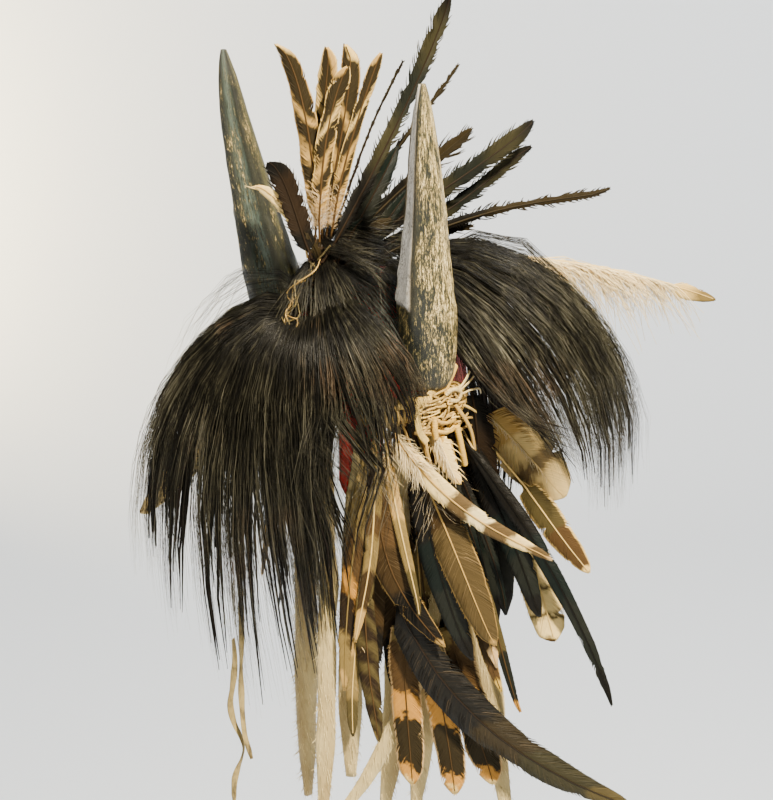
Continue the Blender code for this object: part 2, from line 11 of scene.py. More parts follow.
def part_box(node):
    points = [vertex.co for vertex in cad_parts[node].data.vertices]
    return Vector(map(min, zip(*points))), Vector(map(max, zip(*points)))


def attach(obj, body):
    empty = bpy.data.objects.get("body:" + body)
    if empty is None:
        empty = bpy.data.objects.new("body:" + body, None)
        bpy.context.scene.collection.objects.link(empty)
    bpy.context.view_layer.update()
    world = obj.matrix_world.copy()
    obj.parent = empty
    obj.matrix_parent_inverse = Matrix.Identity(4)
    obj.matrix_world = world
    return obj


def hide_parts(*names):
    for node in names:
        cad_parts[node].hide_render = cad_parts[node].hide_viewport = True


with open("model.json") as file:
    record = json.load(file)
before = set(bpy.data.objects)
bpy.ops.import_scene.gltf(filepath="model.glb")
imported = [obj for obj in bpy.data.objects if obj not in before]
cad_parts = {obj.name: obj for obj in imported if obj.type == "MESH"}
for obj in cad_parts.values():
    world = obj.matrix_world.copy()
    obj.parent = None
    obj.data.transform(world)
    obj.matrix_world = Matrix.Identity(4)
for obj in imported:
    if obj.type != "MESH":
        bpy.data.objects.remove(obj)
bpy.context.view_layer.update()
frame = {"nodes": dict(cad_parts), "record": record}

nodes = frame["nodes"]
mm = 0.001
up = np.array((0.0, 0.0, 1.0))


# node trees: shared by the geometry and the finishes
def addNode(tree, kind, settings=None, inputs=None):
    item = tree.nodes.new(kind)
    for name, value in (settings or {}).items():
        setattr(item, name, value)
    for key, value in (inputs or {}).items():
        if isinstance(key, int):
            socket = item.inputs[key]
        else:
            socket = next(s for s in item.inputs if s.name == key and s.enabled)
        if isinstance(value, bpy.types.NodeSocket):
            tree.links.new(value, socket)
        else:
            socket.default_value = value
    return item


def output(item, name=None):
    return next(s for s in item.outputs if s.enabled and name in (None, s.name))


def made(tree, kind, settings=None, inputs=None):
    # a node's first output, where nothing else of the node is needed
    return output(addNode(tree, kind, settings, inputs))


def calc(tree, operation, *values):
    settings = {"operation": operation}
    return made(tree, "ShaderNodeMath", settings, dict(enumerate(values)))


def calcVector(tree, operation, *values):
    settings = {"operation": operation}
    return made(tree, "ShaderNodeVectorMath", settings, dict(enumerate(values)))


def scaled(tree, vector, factor):
    settings = {"operation": "SCALE"}
    return made(tree, "ShaderNodeVectorMath", settings, {0: vector, 3: factor})


def between(tree, value, low, high):
    # 0 below low, 1 above high, smooth between
    settings = {"interpolation_type": "SMOOTHSTEP"}
    return made(tree, "ShaderNodeMapRange", settings, {
        "Value": value, "From Min": low, "From Max": high})


def times(tree, value, *others):
    for other in others:
        value = calc(tree, "MULTIPLY", value, other)
    return value


def timesPlus(tree, value, amount, base):
    return calc(tree, "MULTIPLY_ADD", value, amount, base)


def varied(tree, share, pattern, amount):
    # moves a share up and down by a pattern that runs from 0 to 1
    return timesPlus(tree, calc(tree, "SUBTRACT", pattern, 0.5), amount, share)


def window(tree, value, low, full, over, high):
    # 1 from full to over, and 0 below low and above high
    return times(tree, between(tree, value, low, full), between(tree, value, high, over))


def newTree(name, inputs):
    tree = bpy.data.node_groups.new(name, "GeometryNodeTree")
    for label, kind in [("Geometry", "Geometry"), *inputs]:
        tree.interface.new_socket(label, in_out="INPUT", socket_type="NodeSocket" + kind)
    tree.interface.new_socket("Geometry", in_out="OUTPUT", socket_type="NodeSocketGeometry")
    given = {socket.name: socket for socket in tree.nodes.new("NodeGroupInput").outputs}
    return tree, given, tree.nodes.new("NodeGroupOutput")


def named(tree, name, kind="FLOAT"):
    settings = {"data_type": kind}
    return made(tree, "GeometryNodeInputNamedAttribute", settings, {"Name": name})


def grow(source, tree, values, name):
    # runs a tree on the source and keeps the result as a plain mesh
    modifier = source.modifiers.new("grow", "NODES")
    modifier.node_group = tree
    for item in tree.interface.items_tree:
        if item.in_out == "INPUT" and item.name in values:
            modifier[item.identifier] = values[item.name]
    shown = source.evaluated_get(bpy.context.evaluated_depsgraph_get())
    mesh = bpy.data.meshes.new_from_object(shown)
    bpy.data.objects.remove(source, do_unlink=True)
    return addPiece(name, mesh)


def addPiece(name, mesh, material=None):
    mesh.name = name
    piece = bpy.data.objects.new(name, mesh)
    bpy.context.scene.collection.objects.link(piece)
    if material:
        mesh.materials.append(material)
    return piece


def joined(name, pieces):
    with bpy.context.temp_override(active_object=pieces[0], selected_editable_objects=pieces):
        bpy.ops.object.join()
    pieces[0].name = name
    pieces[0].data.name = name
    return pieces[0]


def fit(piece, slot, *replaced):
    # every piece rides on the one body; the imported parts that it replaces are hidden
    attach(piece, "root")
    if replaced:
        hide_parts(*replaced)
    return piece


def lineMesh(name, lines, fields):
    # lines: an array of polylines, (count, points, 3); fields: matching arrays of point values
    count, points = lines.shape[:2]
    mesh = bpy.data.meshes.new(name)
    start = np.arange(count)[:, None] * points + np.arange(points - 1)[None, :]
    edges = np.stack((start, start + 1), axis=-1).reshape(-1, 2)
    mesh.from_pydata(lines.reshape(-1, 3).tolist(), edges.tolist(), [])
    for label, values in fields.items():
        kind = "FLOAT_VECTOR" if values.ndim == 3 else "FLOAT"
        layer = mesh.attributes.new(label, kind, "POINT")
        layer.data.foreach_set("vector" if values.ndim == 3 else "value", values.ravel())
    return addPiece(name, mesh)


def unit(vectors):
    return vectors / np.linalg.norm(vectors, axis=-1, keepdims=True)


def smoothStep(values):
    share = np.clip(values, 0, 1)
    return share * share * (3 - 2 * share)


def curveAt(before, start, stop, after, t):
    # the smooth curve from start to stop, led by the points before and after them
    return 0.5 * (2 * start + (stop - before) * t
                  + (2 * before - 5 * start + 4 * stop - after) * t ** 2
                  + (3 * start - before - 3 * stop + after) * t ** 3)


def along(points, shares):
    # places on the smooth curve through the points, at shares of its length
    ends = np.vstack((2 * points[:1] - points[1:2], points, 2 * points[-1:] - points[-2:-1]))
    steps = np.linalg.norm(np.diff(points[:, :3], axis=0), axis=1)
    length = np.concatenate(((0,), np.cumsum(steps)))
    place = np.interp(np.clip(shares, 0, 1) * length[-1], length, np.arange(len(points)))
    index = np.minimum(place.astype(int), len(points) - 2)
    t = (place - index)[..., None]
    return curveAt(*(ends[index + k] for k in range(4)), t)


def heading(degrees):
    angle = np.radians(degrees)
    return np.stack((np.sin(angle), -np.cos(angle), np.zeros_like(angle)), axis=-1)


# trees that follow the lines laid out for hair, barbs and threads
def strandTree():
    # many strands from each guide line: scattered, waved, cut to length and tapered
    tree, given, end = newTree("strands", [
        ("Strands", "Int"), ("Spread", "Float"), ("Wave", "Float"), ("Wave Size", "Float"),
        ("Fray", "Float"), ("Shortest", "Float"), ("Girth", "Float"), ("Sides", "Int"),
        ("Seed", "Int"), ("Finish", "Material")])

    def chance(low, high, shift, kind="FLOAT"):
        seed = calc(tree, "ADD", given["Seed"], float(shift))
        draw = addNode(tree, "FunctionNodeRandomValue", {"data_type": kind},
                       {"Min": low, "Max": high, "Seed": seed})
        settings = {"domain": "CURVE", "data_type": kind}
        return made(tree, "GeometryNodeFieldOnDomain", settings, {"Value": output(draw)})

    guides = addNode(tree, "GeometryNodeMeshToCurve", {}, {"Mesh": given["Geometry"]})
    copies = addNode(tree, "GeometryNodeDuplicateElements", {"domain": "SPLINE"},
                     {"Geometry": output(guides), "Amount": given["Strands"]})
    far = named(tree, "along")
    aside = scaled(tree, named(tree, "spread", "FLOAT_VECTOR"),
                   times(tree, chance(-1.0, 1.0, 1), given["Spread"]))
    raised = scaled(tree, named(tree, "lift", "FLOAT_VECTOR"), chance(0.0, 1.0, 2))
    place = made(tree, "GeometryNodeInputPosition")
    noise = addNode(tree, "ShaderNodeTexNoise", {"noise_dimensions": "4D"}, {
        "Vector": place, "W": chance(0.0, 5.0, 3), "Scale": given["Wave Size"], "Detail": 2.5})
    centred = calcVector(tree, "SUBTRACT", noise.outputs["Color"], (0.5, 0.5, 0.5))
    amount = times(tree, given["Wave"], timesPlus(tree, far, 1.7, 0.15))
    waved = scaled(tree, centred, amount)
    astray = chance((-1.0, -1.0, -0.5), (1.0, 1.0, 0.3), 7, "FLOAT_VECTOR")
    frayed = scaled(tree, astray, times(tree, given["Fray"], between(tree, far, 0.12, 1.0)))
    shift = calcVector(tree, "ADD", calcVector(tree, "ADD", aside, raised),
                       calcVector(tree, "ADD", waved, frayed))
    moved = addNode(tree, "GeometryNodeSetPosition", {}, {"Geometry": output(copies), "Offset": shift})
    trimmed = addNode(tree, "GeometryNodeTrimCurve", {}, {
        "Curve": output(moved), "End": chance(given["Shortest"], 1.0, 4)})
    tinted = addNode(tree, "GeometryNodeStoreNamedAttribute", {"domain": "POINT"}, {
        "Geometry": output(trimmed), "Name": "tint", "Value": chance(0.0, 1.0, 5)})
    reach = made(tree, "GeometryNodeSplineParameter")
    taper = calc(tree, "SUBTRACT", 1.0, times(tree, calc(tree, "POWER", reach, 3.0), 0.85))
    girth = times(tree, times(tree, given["Girth"], taper), chance(0.6, 1.35, 6))
    tubes = tubesOn(tree, output(tinted), ringOf(tree, given["Sides"]), girth)
    finishTree(tree, end, tubes, given["Finish"])
    return tree


def ringOf(tree, sides):
    return made(tree, "GeometryNodeCurvePrimitiveCircle", {}, {"Resolution": sides, "Radius": 1.0})


def tubesOn(tree, lines, profile, girth):
    return made(tree, "GeometryNodeCurveToMesh", {}, {
        "Curve": lines, "Profile Curve": profile, "Scale": girth, "Fill Caps": True})


def finishTree(tree, end, geometry, finish):
    smooth = addNode(tree, "GeometryNodeSetShadeSmooth", {}, {"Geometry": geometry})
    whole = addNode(tree, "GeometryNodeRealizeInstances", {}, {"Geometry": output(smooth)})
    dressed = addNode(tree, "GeometryNodeSetMaterial", {}, {
        "Geometry": output(whole), "Material": finish})
    tree.links.new(output(dressed), end.inputs[0])


def threadTree():
    # one solid thread along each line: its own girth at each point, flattened across its normal
    tree, given, end = newTree("threads", [
        ("Sides", "Int"), ("Flatness", "Float"), ("Finish", "Material")])
    lines = addNode(tree, "GeometryNodeMeshToCurve", {}, {"Mesh": given["Geometry"]})
    turned = addNode(tree, "GeometryNodeSetCurveNormal", {"mode": "FREE"}, {
        "Curve": output(lines), "Normal": named(tree, "facing", "FLOAT_VECTOR")})
    flat = addNode(tree, "ShaderNodeCombineXYZ", {}, {"X": given["Flatness"], "Y": 1.0, "Z": 1.0})
    profile = addNode(tree, "GeometryNodeTransform", {}, {
        "Geometry": ringOf(tree, given["Sides"]), "Scale": output(flat)})
    tubes = tubesOn(tree, output(turned), output(profile), named(tree, "girth"))
    finishTree(tree, end, tubes, given["Finish"])
    return tree


strands = strandTree()
threads = threadTree()


def threadPiece(name, lines, fields, sides, flatness, finish):
    values = {"Sides": sides, "Flatness": flatness, "Finish": finish}
    return grow(lineMesh(name + "_lines", lines, fields), threads, values, name)


# finishes
def newMaterial(name, roughness=0.6, sheen=0.0, specular=0.5):
    material = bpy.data.materials.new(name)
    material.use_nodes = True
    shader = material.node_tree.nodes["Principled BSDF"]
    shader.inputs["Roughness"].default_value = roughness
    shader.inputs["Sheen Weight"].default_value = sheen
    shader.inputs["Specular IOR Level"].default_value = specular
    return material, material.node_tree, shader


def attribute(tree, name):
    return addNode(tree, "ShaderNodeAttribute", {"attribute_name": name}).outputs["Fac"]


def colourRamp(tree, value, *stops):
    ramp = addNode(tree, "ShaderNodeValToRGB", {}, {"Fac": value})
    bands = ramp.color_ramp.elements
    while len(bands) < len(stops):
        bands.new(0.5)
    for band, (place, colour) in zip(bands, stops):
        band.position = place
        band.color = (*colour, 1)
    return ramp.outputs["Color"]


def mixColour(tree, share, first, second, kind="MIX"):
    mix = addNode(tree, "ShaderNodeMix", {"data_type": "RGBA", "blend_type": kind})
    for socket, value in zip((s for s in mix.inputs if s.enabled), (share, first, second)):
        if isinstance(value, bpy.types.NodeSocket):
            tree.links.new(value, socket)
        else:
            socket.default_value = value if isinstance(value, float) else (*value, 1)
    return output(mix)


def noise(tree, scale, detail=3.0, vector=None, stretch=None, roughness=0.55):
    if vector is None:
        vector = addNode(tree, "ShaderNodeTexCoord").outputs["Object"]
    if stretch:
        vector = made(tree, "ShaderNodeMapping", {}, {"Vector": vector, "Scale": stretch})
    texture = addNode(tree, "ShaderNodeTexNoise", {}, {
        "Vector": vector, "Scale": scale, "Detail": detail, "Roughness": roughness})
    return texture.outputs["Fac"]


def paint(tree, shader, colour):
    tree.links.new(colour, shader.inputs["Base Color"])


def addBump(tree, shader, height, strength, distance):
    bump = addNode(tree, "ShaderNodeBump", {}, {
        "Height": height, "Strength": strength, "Distance": distance})
    tree.links.new(output(bump), shader.inputs["Normal"])


# camera
view = {"azimuth": 40, "elevation": 18, "distance": 2.8, "lens": 133,
        "target": (0.0117, 0.0044, -0.0126)}


def makeCamera():
    level = math.cos(math.radians(view["elevation"]))
    back = Vector(heading(view["azimuth"]) * level + up * math.sin(math.radians(view["elevation"])))
    data = bpy.data.cameras.new("camera")
    data.lens = view["lens"]
    data.clip_start = 0.05
    data.clip_end = 40
    eye = bpy.data.objects.new("camera", data)
    eye.location = Vector(view["target"]) + back * view["distance"]
    eye.rotation_mode = "QUATERNION"
    eye.rotation_quaternion = (-back).to_track_quat("-Z", "Y")
    bpy.context.scene.collection.objects.link(eye)
    bpy.context.scene.camera = eye


makeCamera()
print("camera set")


# hide thongs: flat strips that hang free, at their real length
thong = {"width": 6.2, "flatness": 0.26, "middle": (-54.0, -133.0, 0.0), "heading": 40, "points": 72,
         "twist": 0.9}
thongRoutes = {  # across, height and layer in millimetres
    "hide_thong_short": (
        (0, -142, 4), (1, -170, 2), (1, -200, 0), (1, -231, 0), (0, -262, 0), (0, -290, 0),
        (1, -312, 1), (3, -331, 2), (7, -346, 3), (9, -354, 3)),
    "hide_thong_long": (
        (-7, -232, -3), (-6, -252, -4), (-7, -268, -4), (-9, -284, -4), (-11, -298, -4),
        (-10, -310, -4), (-7, -322, -5), (-2, -334, -6), (1, -346, -6), (-1, -357, -6),
        (-5, -368, -6), (-8, -379, -5), (-9, -391, -5), (-9, -404, -5)),
}


def hideMaterial(name, pale, deep):
    material, tree, shader = newMaterial(name, roughness=0.68, specular=0.4)
    stain = noise(tree, 55.0, 4.0)
    grain = noise(tree, 420.0, 4.0, stretch=(1.0, 1.0, 0.35))
    share = varied(tree, stain, grain, 0.5)
    colour = colourRamp(tree, share, (0.3, deep), (0.52, pale), (0.75, tuple(c * 1.35 for c in pale)))
    paint(tree, shader, colour)
    addBump(tree, shader, grain, 0.6, 0.0006)
    return material


def makeThongs():
    finish = hideMaterial("smoked hide", (0.30, 0.225, 0.085), (0.085, 0.06, 0.022))
    outward = heading(thong["heading"])
    across = np.cross(up, outward)
    shares = np.linspace(0, 1, thong["points"])
    for seed, (name, route) in enumerate(thongRoutes.items()):
        rows = np.array(route, dtype=float)
        places = (np.array(thong["middle"]) + rows[:, :1] * across + rows[:, 1:2] * up
                  + rows[:, 2:] * outward)
        line = along(places, shares) * mm
        turn = thong["twist"] * np.sin(shares * 9 + seed * 2) + 0.4 * seed
        facing = np.cos(turn)[:, None] * outward + np.sin(turn)[:, None] * across
        half = thong["width"] / 2 * mm * (1 + 0.10 * np.sin(shares * 31 + seed))
        half = half * (0.55 + 0.45 * smoothStep((1 - shares) * 20))
        fields = {"girth": half[None], "facing": facing[None]}
        strap = threadPiece(name + "_strap", line[None], fields, 10, thong["flatness"], finish)
        fit(strap, "hide", name)
        tuple(line[0])


makeThongs()


# light and stage
studio = {"floor": -1.15, "back": 3.6, "width": 12.0, "front": 3.2, "height": 1.0, "bend": 0.95,
          "bendSteps": 12, "sky": (0.88, 0.93, 1.0), "skyStrength": 0.07,
          "aimIn": 0.62, "aimSlope": 0.3, "aimDrop": 0.4}  # where the paper's lamps point


def studioMesh():
    # one swept sheet: the floor runs back and curves up into the backdrop
    turn = math.radians(view["azimuth"])
    across = Vector((math.cos(turn), math.sin(turn), 0))
    away = Vector((-math.sin(turn), math.cos(turn), 0))
    profile = [(-studio["front"], 0.0)]
    for step in range(studio["bendSteps"] + 1):
        angle = math.pi / 2 * step / studio["bendSteps"]
        profile.append((studio["back"] - studio["bend"] + studio["bend"] * math.sin(angle),
                        studio["bend"] * (1 - math.cos(angle))))
    profile.append((studio["back"], studio["height"]))
    bm = bmesh.new()
    rows = []
    for reach, rise in profile:
        middle = away * reach + Vector((0, 0, studio["floor"] + rise))
        rows.append([bm.verts.new(middle + across * side * studio["width"] / 2) for side in (-1, 1)])
    for low, high in zip(rows, rows[1:]):
        bm.faces.new((low[0], low[1], high[1], high[0]))
    mesh = bpy.data.meshes.new("studio")
    bm.to_mesh(mesh)
    bm.free()
    mesh.shade_smooth()
    return mesh


def plainMaterial(name, colour, roughness):
    material = bpy.data.materials.new(name)
    material.use_nodes = True
    shader = material.node_tree.nodes["Principled BSDF"]
    shader.inputs["Base Color"].default_value = (*colour, 1)
    shader.inputs["Roughness"].default_value = roughness
    return material


lamps = {  # heading round the cap, height, distance, size, power, colour
    "key": (68, 2.5, 2.1, 0.26, 520, (1.0, 0.88, 0.66)),
    "left": (-22, 2.3, 1.9, 0.5, 85, (1.0, 0.90, 0.72)),
    "rim": (190, 2.2, 1.8, 0.9, 60, (0.95, 0.97, 1.0)),
}
backLamps = {  # across and away from the cap, height, size, power, colour: these light the paper alone
    "paper_left": (-2.2, 1.3, 0.9, 1.6, 30, (0.82, 0.90, 1.0)),
    "paper_right": (2.4, 1.3, 0.9, 1.6, 52, (0.82, 0.90, 1.0)),
    "paper_edge": (-1.22, 3.15, -0.5, 0.6, 26, (1.0, 0.74, 0.34)),
}


def addLamp(name, place, target, size, power, colour):
    data = bpy.data.lights.new(name, "AREA")
    data.size = size
    data.energy = power
    data.color = colour
    lamp = bpy.data.objects.new(name, data)
    lamp.location = place
    lamp.rotation_mode = "QUATERNION"
    lamp.rotation_quaternion = (target - place).to_track_quat("-Z", "Y")
    bpy.context.scene.collection.objects.link(lamp)


def makeStudio():
    stage = addPiece("studio", studioMesh(), plainMaterial("paper", (0.70, 0.76, 0.86), 0.9))
    for name, (turn, height, reach, *values) in lamps.items():
        addLamp(name, Vector(heading(turn) * reach) + Vector((0, 0, height)), Vector(), *values)
    turn = math.radians(view["azimuth"])
    across, away = Vector((math.cos(turn), math.sin(turn), 0)), Vector((-math.sin(turn), math.cos(turn), 0))
    for name, (side, back, height, *values) in backLamps.items():
        place = across * side + away * back + Vector((0, 0, height))
        aim = height * studio["aimSlope"] - studio["aimDrop"]
        target = across * side * studio["aimIn"] + away * studio["back"] + Vector((0, 0, aim))
        addLamp(name, place, target, *values)
    world = bpy.data.worlds.new("soft")
    world.use_nodes = True
    background = world.node_tree.nodes["Background"]
    background.inputs["Color"].default_value = (*studio["sky"], 1)
    background.inputs["Strength"].default_value = studio["skyStrength"]
    bpy.context.scene.world = world


makeStudio()
print("studio lit")


def hairMaterial(name, sheenPaint):
    material, tree, shader = newMaterial(name, roughness=0.40, specular=0.20)
    tint = attribute(tree, "tint")
    patch = noise(tree, 16.0, 2.0)
    grizzle = noise(tree, 240.0, 2.0, stretch=(1.0, 1.0, 0.06))
    band = noise(tree, 75.0, 2.0, stretch=(1.0, 1.0, 0.10))
    share = timesPlus(tree, tint, 0.60, times(tree, patch, 0.22))
    share = timesPlus(tree, grizzle, 0.16, share)
    share = varied(tree, share, band, 0.75)
    share = timesPlus(tree, between(tree, attribute(tree, "along"), 0.58, 0.16), -0.22, share)
    # the palest strands are partly grey hairs and partly painted highlights
    colour = colourRamp(tree, share, (0.0, (0.003, 0.003, 0.0025)), (0.36, (0.005, 0.0045, 0.0035)),
                        (0.50, (0.015, 0.0142, 0.0095)), (0.66, (0.048, 0.045, 0.030)),
                        (0.83, (0.130, 0.121, 0.086)), (1.0, (0.32, 0.30, 0.24)))
    ruddy = times(tree, between(tree, noise(tree, 9.0, 2.0), 0.52, 0.64),
                 between(tree, share, 0.55, 0.7))
    colour = mixColour(tree, times(tree, ruddy, 0.45), colour, (0.085, 0.033, 0.014))
    # painted sheen: by this amount the lighter strands take a blue-grey glint; only the forelock's hair has
    # it
    grey = times(tree, between(tree, share, 0.46, 0.80), sheenPaint)
    colour = mixColour(tree, grey, colour, (0.085, 0.105, 0.110))
    paint(tree, shader, colour)
    return material


# near-black hair for the thick strands under the fine ones: partly the hair's own dark colour, partly
# painted shade deep in the mass
def hairUnderMaterial():
    material, tree, shader = newMaterial("hair under", roughness=0.7, specular=0.12)
    streak = noise(tree, 90.0, 3.0, stretch=(1.0, 1.0, 0.12))
    colour = colourRamp(tree, streak, (0.3, (0.003, 0.0025, 0.002)), (0.7, (0.012, 0.008, 0.006)))
    paint(tree, shader, colour)
    addBump(tree, shader, streak, 0.6, 0.002)
    return material


# hair: strands laid over the places of the imported locks, which are hidden; thick near-black strands under
# them are the dark body, partly as the hair is and partly painted shade inside the mass
hair = {
    "capHalfWidth": 80.0, "capHalfLength": 98.0, "capBand": 20.0, "capHeight": 115.0,
    "guidesPerLock": 4, "points": 8, "waveSize": 18.0, "fray": 0.0115,
    "girth": 0.00023, "float": 3.0, "fillers": 7, "fillerGirth": 0.0022, "loose": 6,
    "parting": {"heading": 28.5, "level": -50.0, "halfTurn": 8.5, "halfHeight": 44.0, "push": 14.0},
    "crown": {"middle": (-18.0, -50.0, 0.0), "from": 13.0, "upTo": 150.0, "lowest": 72.0, "rise": 5.0,
              "clear": 2.0, "guides": 64, "strands": 10},
}
# each lock: root x and y, heading, turn, rise, hang, reach, tip height, tuck, thickness
hairLocks = {
    "hair_front": {"lift": 75, "part": 0.72, "clump": 0.58, "strands": 83, "wave": 0.017, "rows": (
        (7, -57, 46, 14, 8, .60, 121, -14, 2, 7), (4, -63, 34, 11, 8, .60, 120, -42, 3, 7),
        (0, -69, 22, 8, 8, .60, 123, -178, 8, 7), (-6, -73, 14, 2, 8, .60, 130, -225, 26, 7),
        (-13, -76, 6, 2, 8, .60, 140, -293, 54, 8), (-20, -76, -4, 0, 8, .60, 150, -284, 52, 8),
        (-27, -74, -16, 0, 8, .60, 168, -310, 34, 9), (-34, -71, -28, 0, 8, .60, 182, -258, 26, 10),
        (-39, -66, -40, 0, 8, .60, 208, -225, 14, 11), (-42, -59, -51, 0, 8, .60, 232, -190, 16, 12),
        (-44, -52, -64, 0, 8, .60, 222, -172, 14, 10))},
    "hair_back_left": {"lift": 75, "part": 0.80, "clump": 0.0, "shortest": 0.78, "strands": 104,
                       "wave": 0.017, "rows": (
        (19, -9, 94, 6, 0, .04, 120, -25, -103, 8), (18, -2, 100, 4, 22, .45, 178, -80, -34, 9),
        (17, 5, 108, 4, 44, .70, 226, -98, 6, 10), (15, 12, 118, 3, 58, .80, 242, -96, 12, 12),
        (12, 19, 129, 2, 58, .80, 256, -90, 6, 12), (8, 25, 140, 0, 38, .78, 240, -92, 8, 10))},
    "hair_back_right": {"lift": 75, "part": 0.80, "clump": 0.3, "strands": 41, "wave": 0.016, "rows": (
        (-8, 25, -140, 0, 10, .55, 214, -118, 8, 10), (-12, 19, -129, 0, 6, .50, 208, -130, 8, 11),
        (-15, 12, -117, 0, 2, .42, 196, -124, 2, 11), (-17, 5, -106, 0, 0, .32, 178, -110, -14, 10),
        (-19, -3, -96, -3, 0, .20, 150, -80, -36, 8))},
    "hair_nape": {"lift": 60, "part": 0.78, "clump": 0.4, "strands": 39, "wave": 0.016, "rows": (
        (10, 46, 155, 0, 0, .62, 184, -150, 20, 8), (8, 53, 167, 0, 0, .62, 180, -178, 26, 9),
        (0, 57, 179, 0, 0, .62, 178, -190, 26, 9), (-8, 53, 191, 0, 0, .62, 180, -178, 26, 9),
        (-10, 46, 203, 0, 0, .62, 184, -150, 20, 8))},
}


# hair laid over the dome beside the horns: heading, reach and height along each line
laidHair = {
    "strands_flyaway": {"guides": 18, "strands": 4, "wave": 0.026, "girth": 0.00017, "rows": (
        ((-24, 62, 92), (-30, 80, 106), (-38, 112, 102), (-44, 150, 72), (-47, 178, 24), (-48, 192, -30)),
        ((-36, 62, 92), (-48, 82, 110), (-58, 118, 108), (-66, 156, 78), (-70, 186, 30), (-72, 204, -26)),
        ((-52, 60, 92), (-66, 78, 106), (-78, 112, 106), (-84, 148, 84), (-87, 176, 42), (-88, 194, -12)),
        ((-70, 56, 90), (-84, 70, 102), (-96, 98, 100), (-102, 130, 76), (-104, 156, 36),
         (-105, 170, -14)))},
    "strands_flyaway_right": {"guides": 20, "strands": 6, "wave": 0.028, "girth": 0.00017, "rows": (
        ((104, 50, 118), (108, 92, 132), (112, 138, 114), (114, 184, 44), (115, 206, -20), (116, 218, -78)),
        ((118, 50, 122), (121, 98, 142), (124, 150, 122), (125, 200, 50), (125, 226, -14), (125, 242, -76)),
        ((132, 50, 122), (132, 102, 146), (131, 156, 126), (130, 208, 50), (130, 236, -12), (130, 252, -74)),
        ((146, 50, 122), (143, 100, 144), (139, 152, 124), (136, 206, 50), (135, 230, -10),
         (134, 246, -72)))},
    "strands_crest": {"guides": 14, "strands": 16, "wave": 0.024, "girth": 0.00022, "rows": (
        ((-30, 46, 146), (-8, 44, 156), (30, 46, 158), (62, 56, 150), (78, 70, 136), (86, 80, 120)),
        ((-26, 52, 142), (-4, 54, 150), (24, 58, 150), (50, 66, 140), (66, 76, 122), (74, 84, 100)),
        ((-20, 56, 140), (2, 60, 146), (24, 66, 142), (42, 74, 128), (54, 82, 106), (60, 88, 80)),
        ((-34, 42, 146), (-40, 36, 158), (-100, 20, 166), (160, 26, 160), (140, 46, 148), (132, 66, 140)))},
    "strands_brow": {"guides": 12, "strands": 22, "wave": 0.022, "rows": (
        ((-30, 50, 131), (-34, 62, 124), (-36, 74, 108), (-37, 88, 84), (-38, 100, 56), (-38, 108, 30)),
        ((-24, 52, 133), (-18, 64, 127), (-14, 78, 112), (-10, 92, 88), (-8, 104, 60), (-6, 112, 34)),
        ((-18, 52, 134), (-4, 64, 128), (10, 76, 112), (20, 88, 86), (26, 97, 54), (30, 102, 22)),
        ((-12, 50, 136), (6, 62, 130), (24, 74, 114), (36, 86, 88), (42, 94, 56), (45, 98, 22)))},
    # the forelock's strands take the hair with the painted blue-grey sheen
    "strands_forelock": {"guides": 16, "strands": 34, "wave": 0.030, "sheenPaint": True, "rows": (
        ((-22, 66, 104), (4, 74, 98), (22, 86, 74), (36, 95, 42), (46, 99, 8), (50, 102, -30)),
        ((-14, 62, 112), (16, 70, 108), (34, 84, 84), (48, 94, 50), (56, 99, 16), (61, 103, -18)),
        ((-4, 56, 120), (30, 66, 116), (48, 80, 95), (59, 92, 64), (65, 99, 30), (69, 103, -4)),
        ((10, 48, 128), (46, 60, 122), (60, 74, 106), (68, 88, 80), (72, 97, 50), (74, 102, 16)))},
    "strands_temple_left": {"guides": 9, "strands": 30, "wave": 0.016, "rows": (
        ((84, 34, 120), (88, 58, 108), (92, 76, 84), (95, 86, 56), (97, 92, 26), (98, 95, 0)),
        ((100, 34, 122), (102, 60, 108), (104, 80, 82), (106, 90, 52), (108, 95, 20), (110, 98, -10)))},
    "strands_temple_right": {"guides": 12, "strands": 26, "wave": 0.016, "rows": (
        ((-40, 60, 116), (-52, 74, 98), (-60, 86, 70), (-64, 93, 40), (-66, 97, 10), (-67, 99, -20)),
        ((-80, 34, 120), (-86, 58, 108), (-91, 76, 84), (-95, 87, 54), (-98, 94, 20), (-100, 98, -16)))},
}


def domeHeight(x, y):
    inside = 1 - (x / hair["capHalfWidth"]) ** 2 - (y / hair["capHalfLength"]) ** 2
    return hair["capBand"] + (hair["capHeight"] - hair["capBand"]) * np.sqrt(np.maximum(inside, 0))


def lockControls(lift, lock):
    x, y, away, turn, rise, hang, reach, tip, tuck = lock[:9]
    root = np.array((x, y, domeHeight(x, y)))
    shoulder = root + lift * heading(away) + rise * up
    level = tip + hang * (root[2] - tip)
    fall = reach * heading(away + turn) + level * up
    end = (reach - tuck) * heading(away + turn) + tip * up
    return np.array((root, shoulder, fall, end))


def bezierPoints(controls, t):
    t = t[..., None]
    return ((1 - t) ** 3 * controls[0] + 3 * t * (1 - t) ** 2 * controls[1]
            + 3 * t * t * (1 - t) * controls[2] + t ** 3 * controls[3])


def parted(places):
    # opens the hair to either side of one gap
    gap = hair["parting"]
    turn = np.degrees(np.arctan2(places[:, 0], -places[:, 1]))
    off = (turn - gap["heading"]) / gap["halfTurn"]
    weight = np.exp(-off ** 2 - ((places[:, 2] - gap["level"]) / gap["halfHeight"]) ** 2)
    swing = np.radians(gap["push"] * weight * np.where(off < 0, -1, 1))
    x, y = places[:, 0], places[:, 1]
    return np.stack((x * np.cos(swing) - y * np.sin(swing), x * np.sin(swing) + y * np.cos(swing),
                     places[:, 2]), axis=-1)


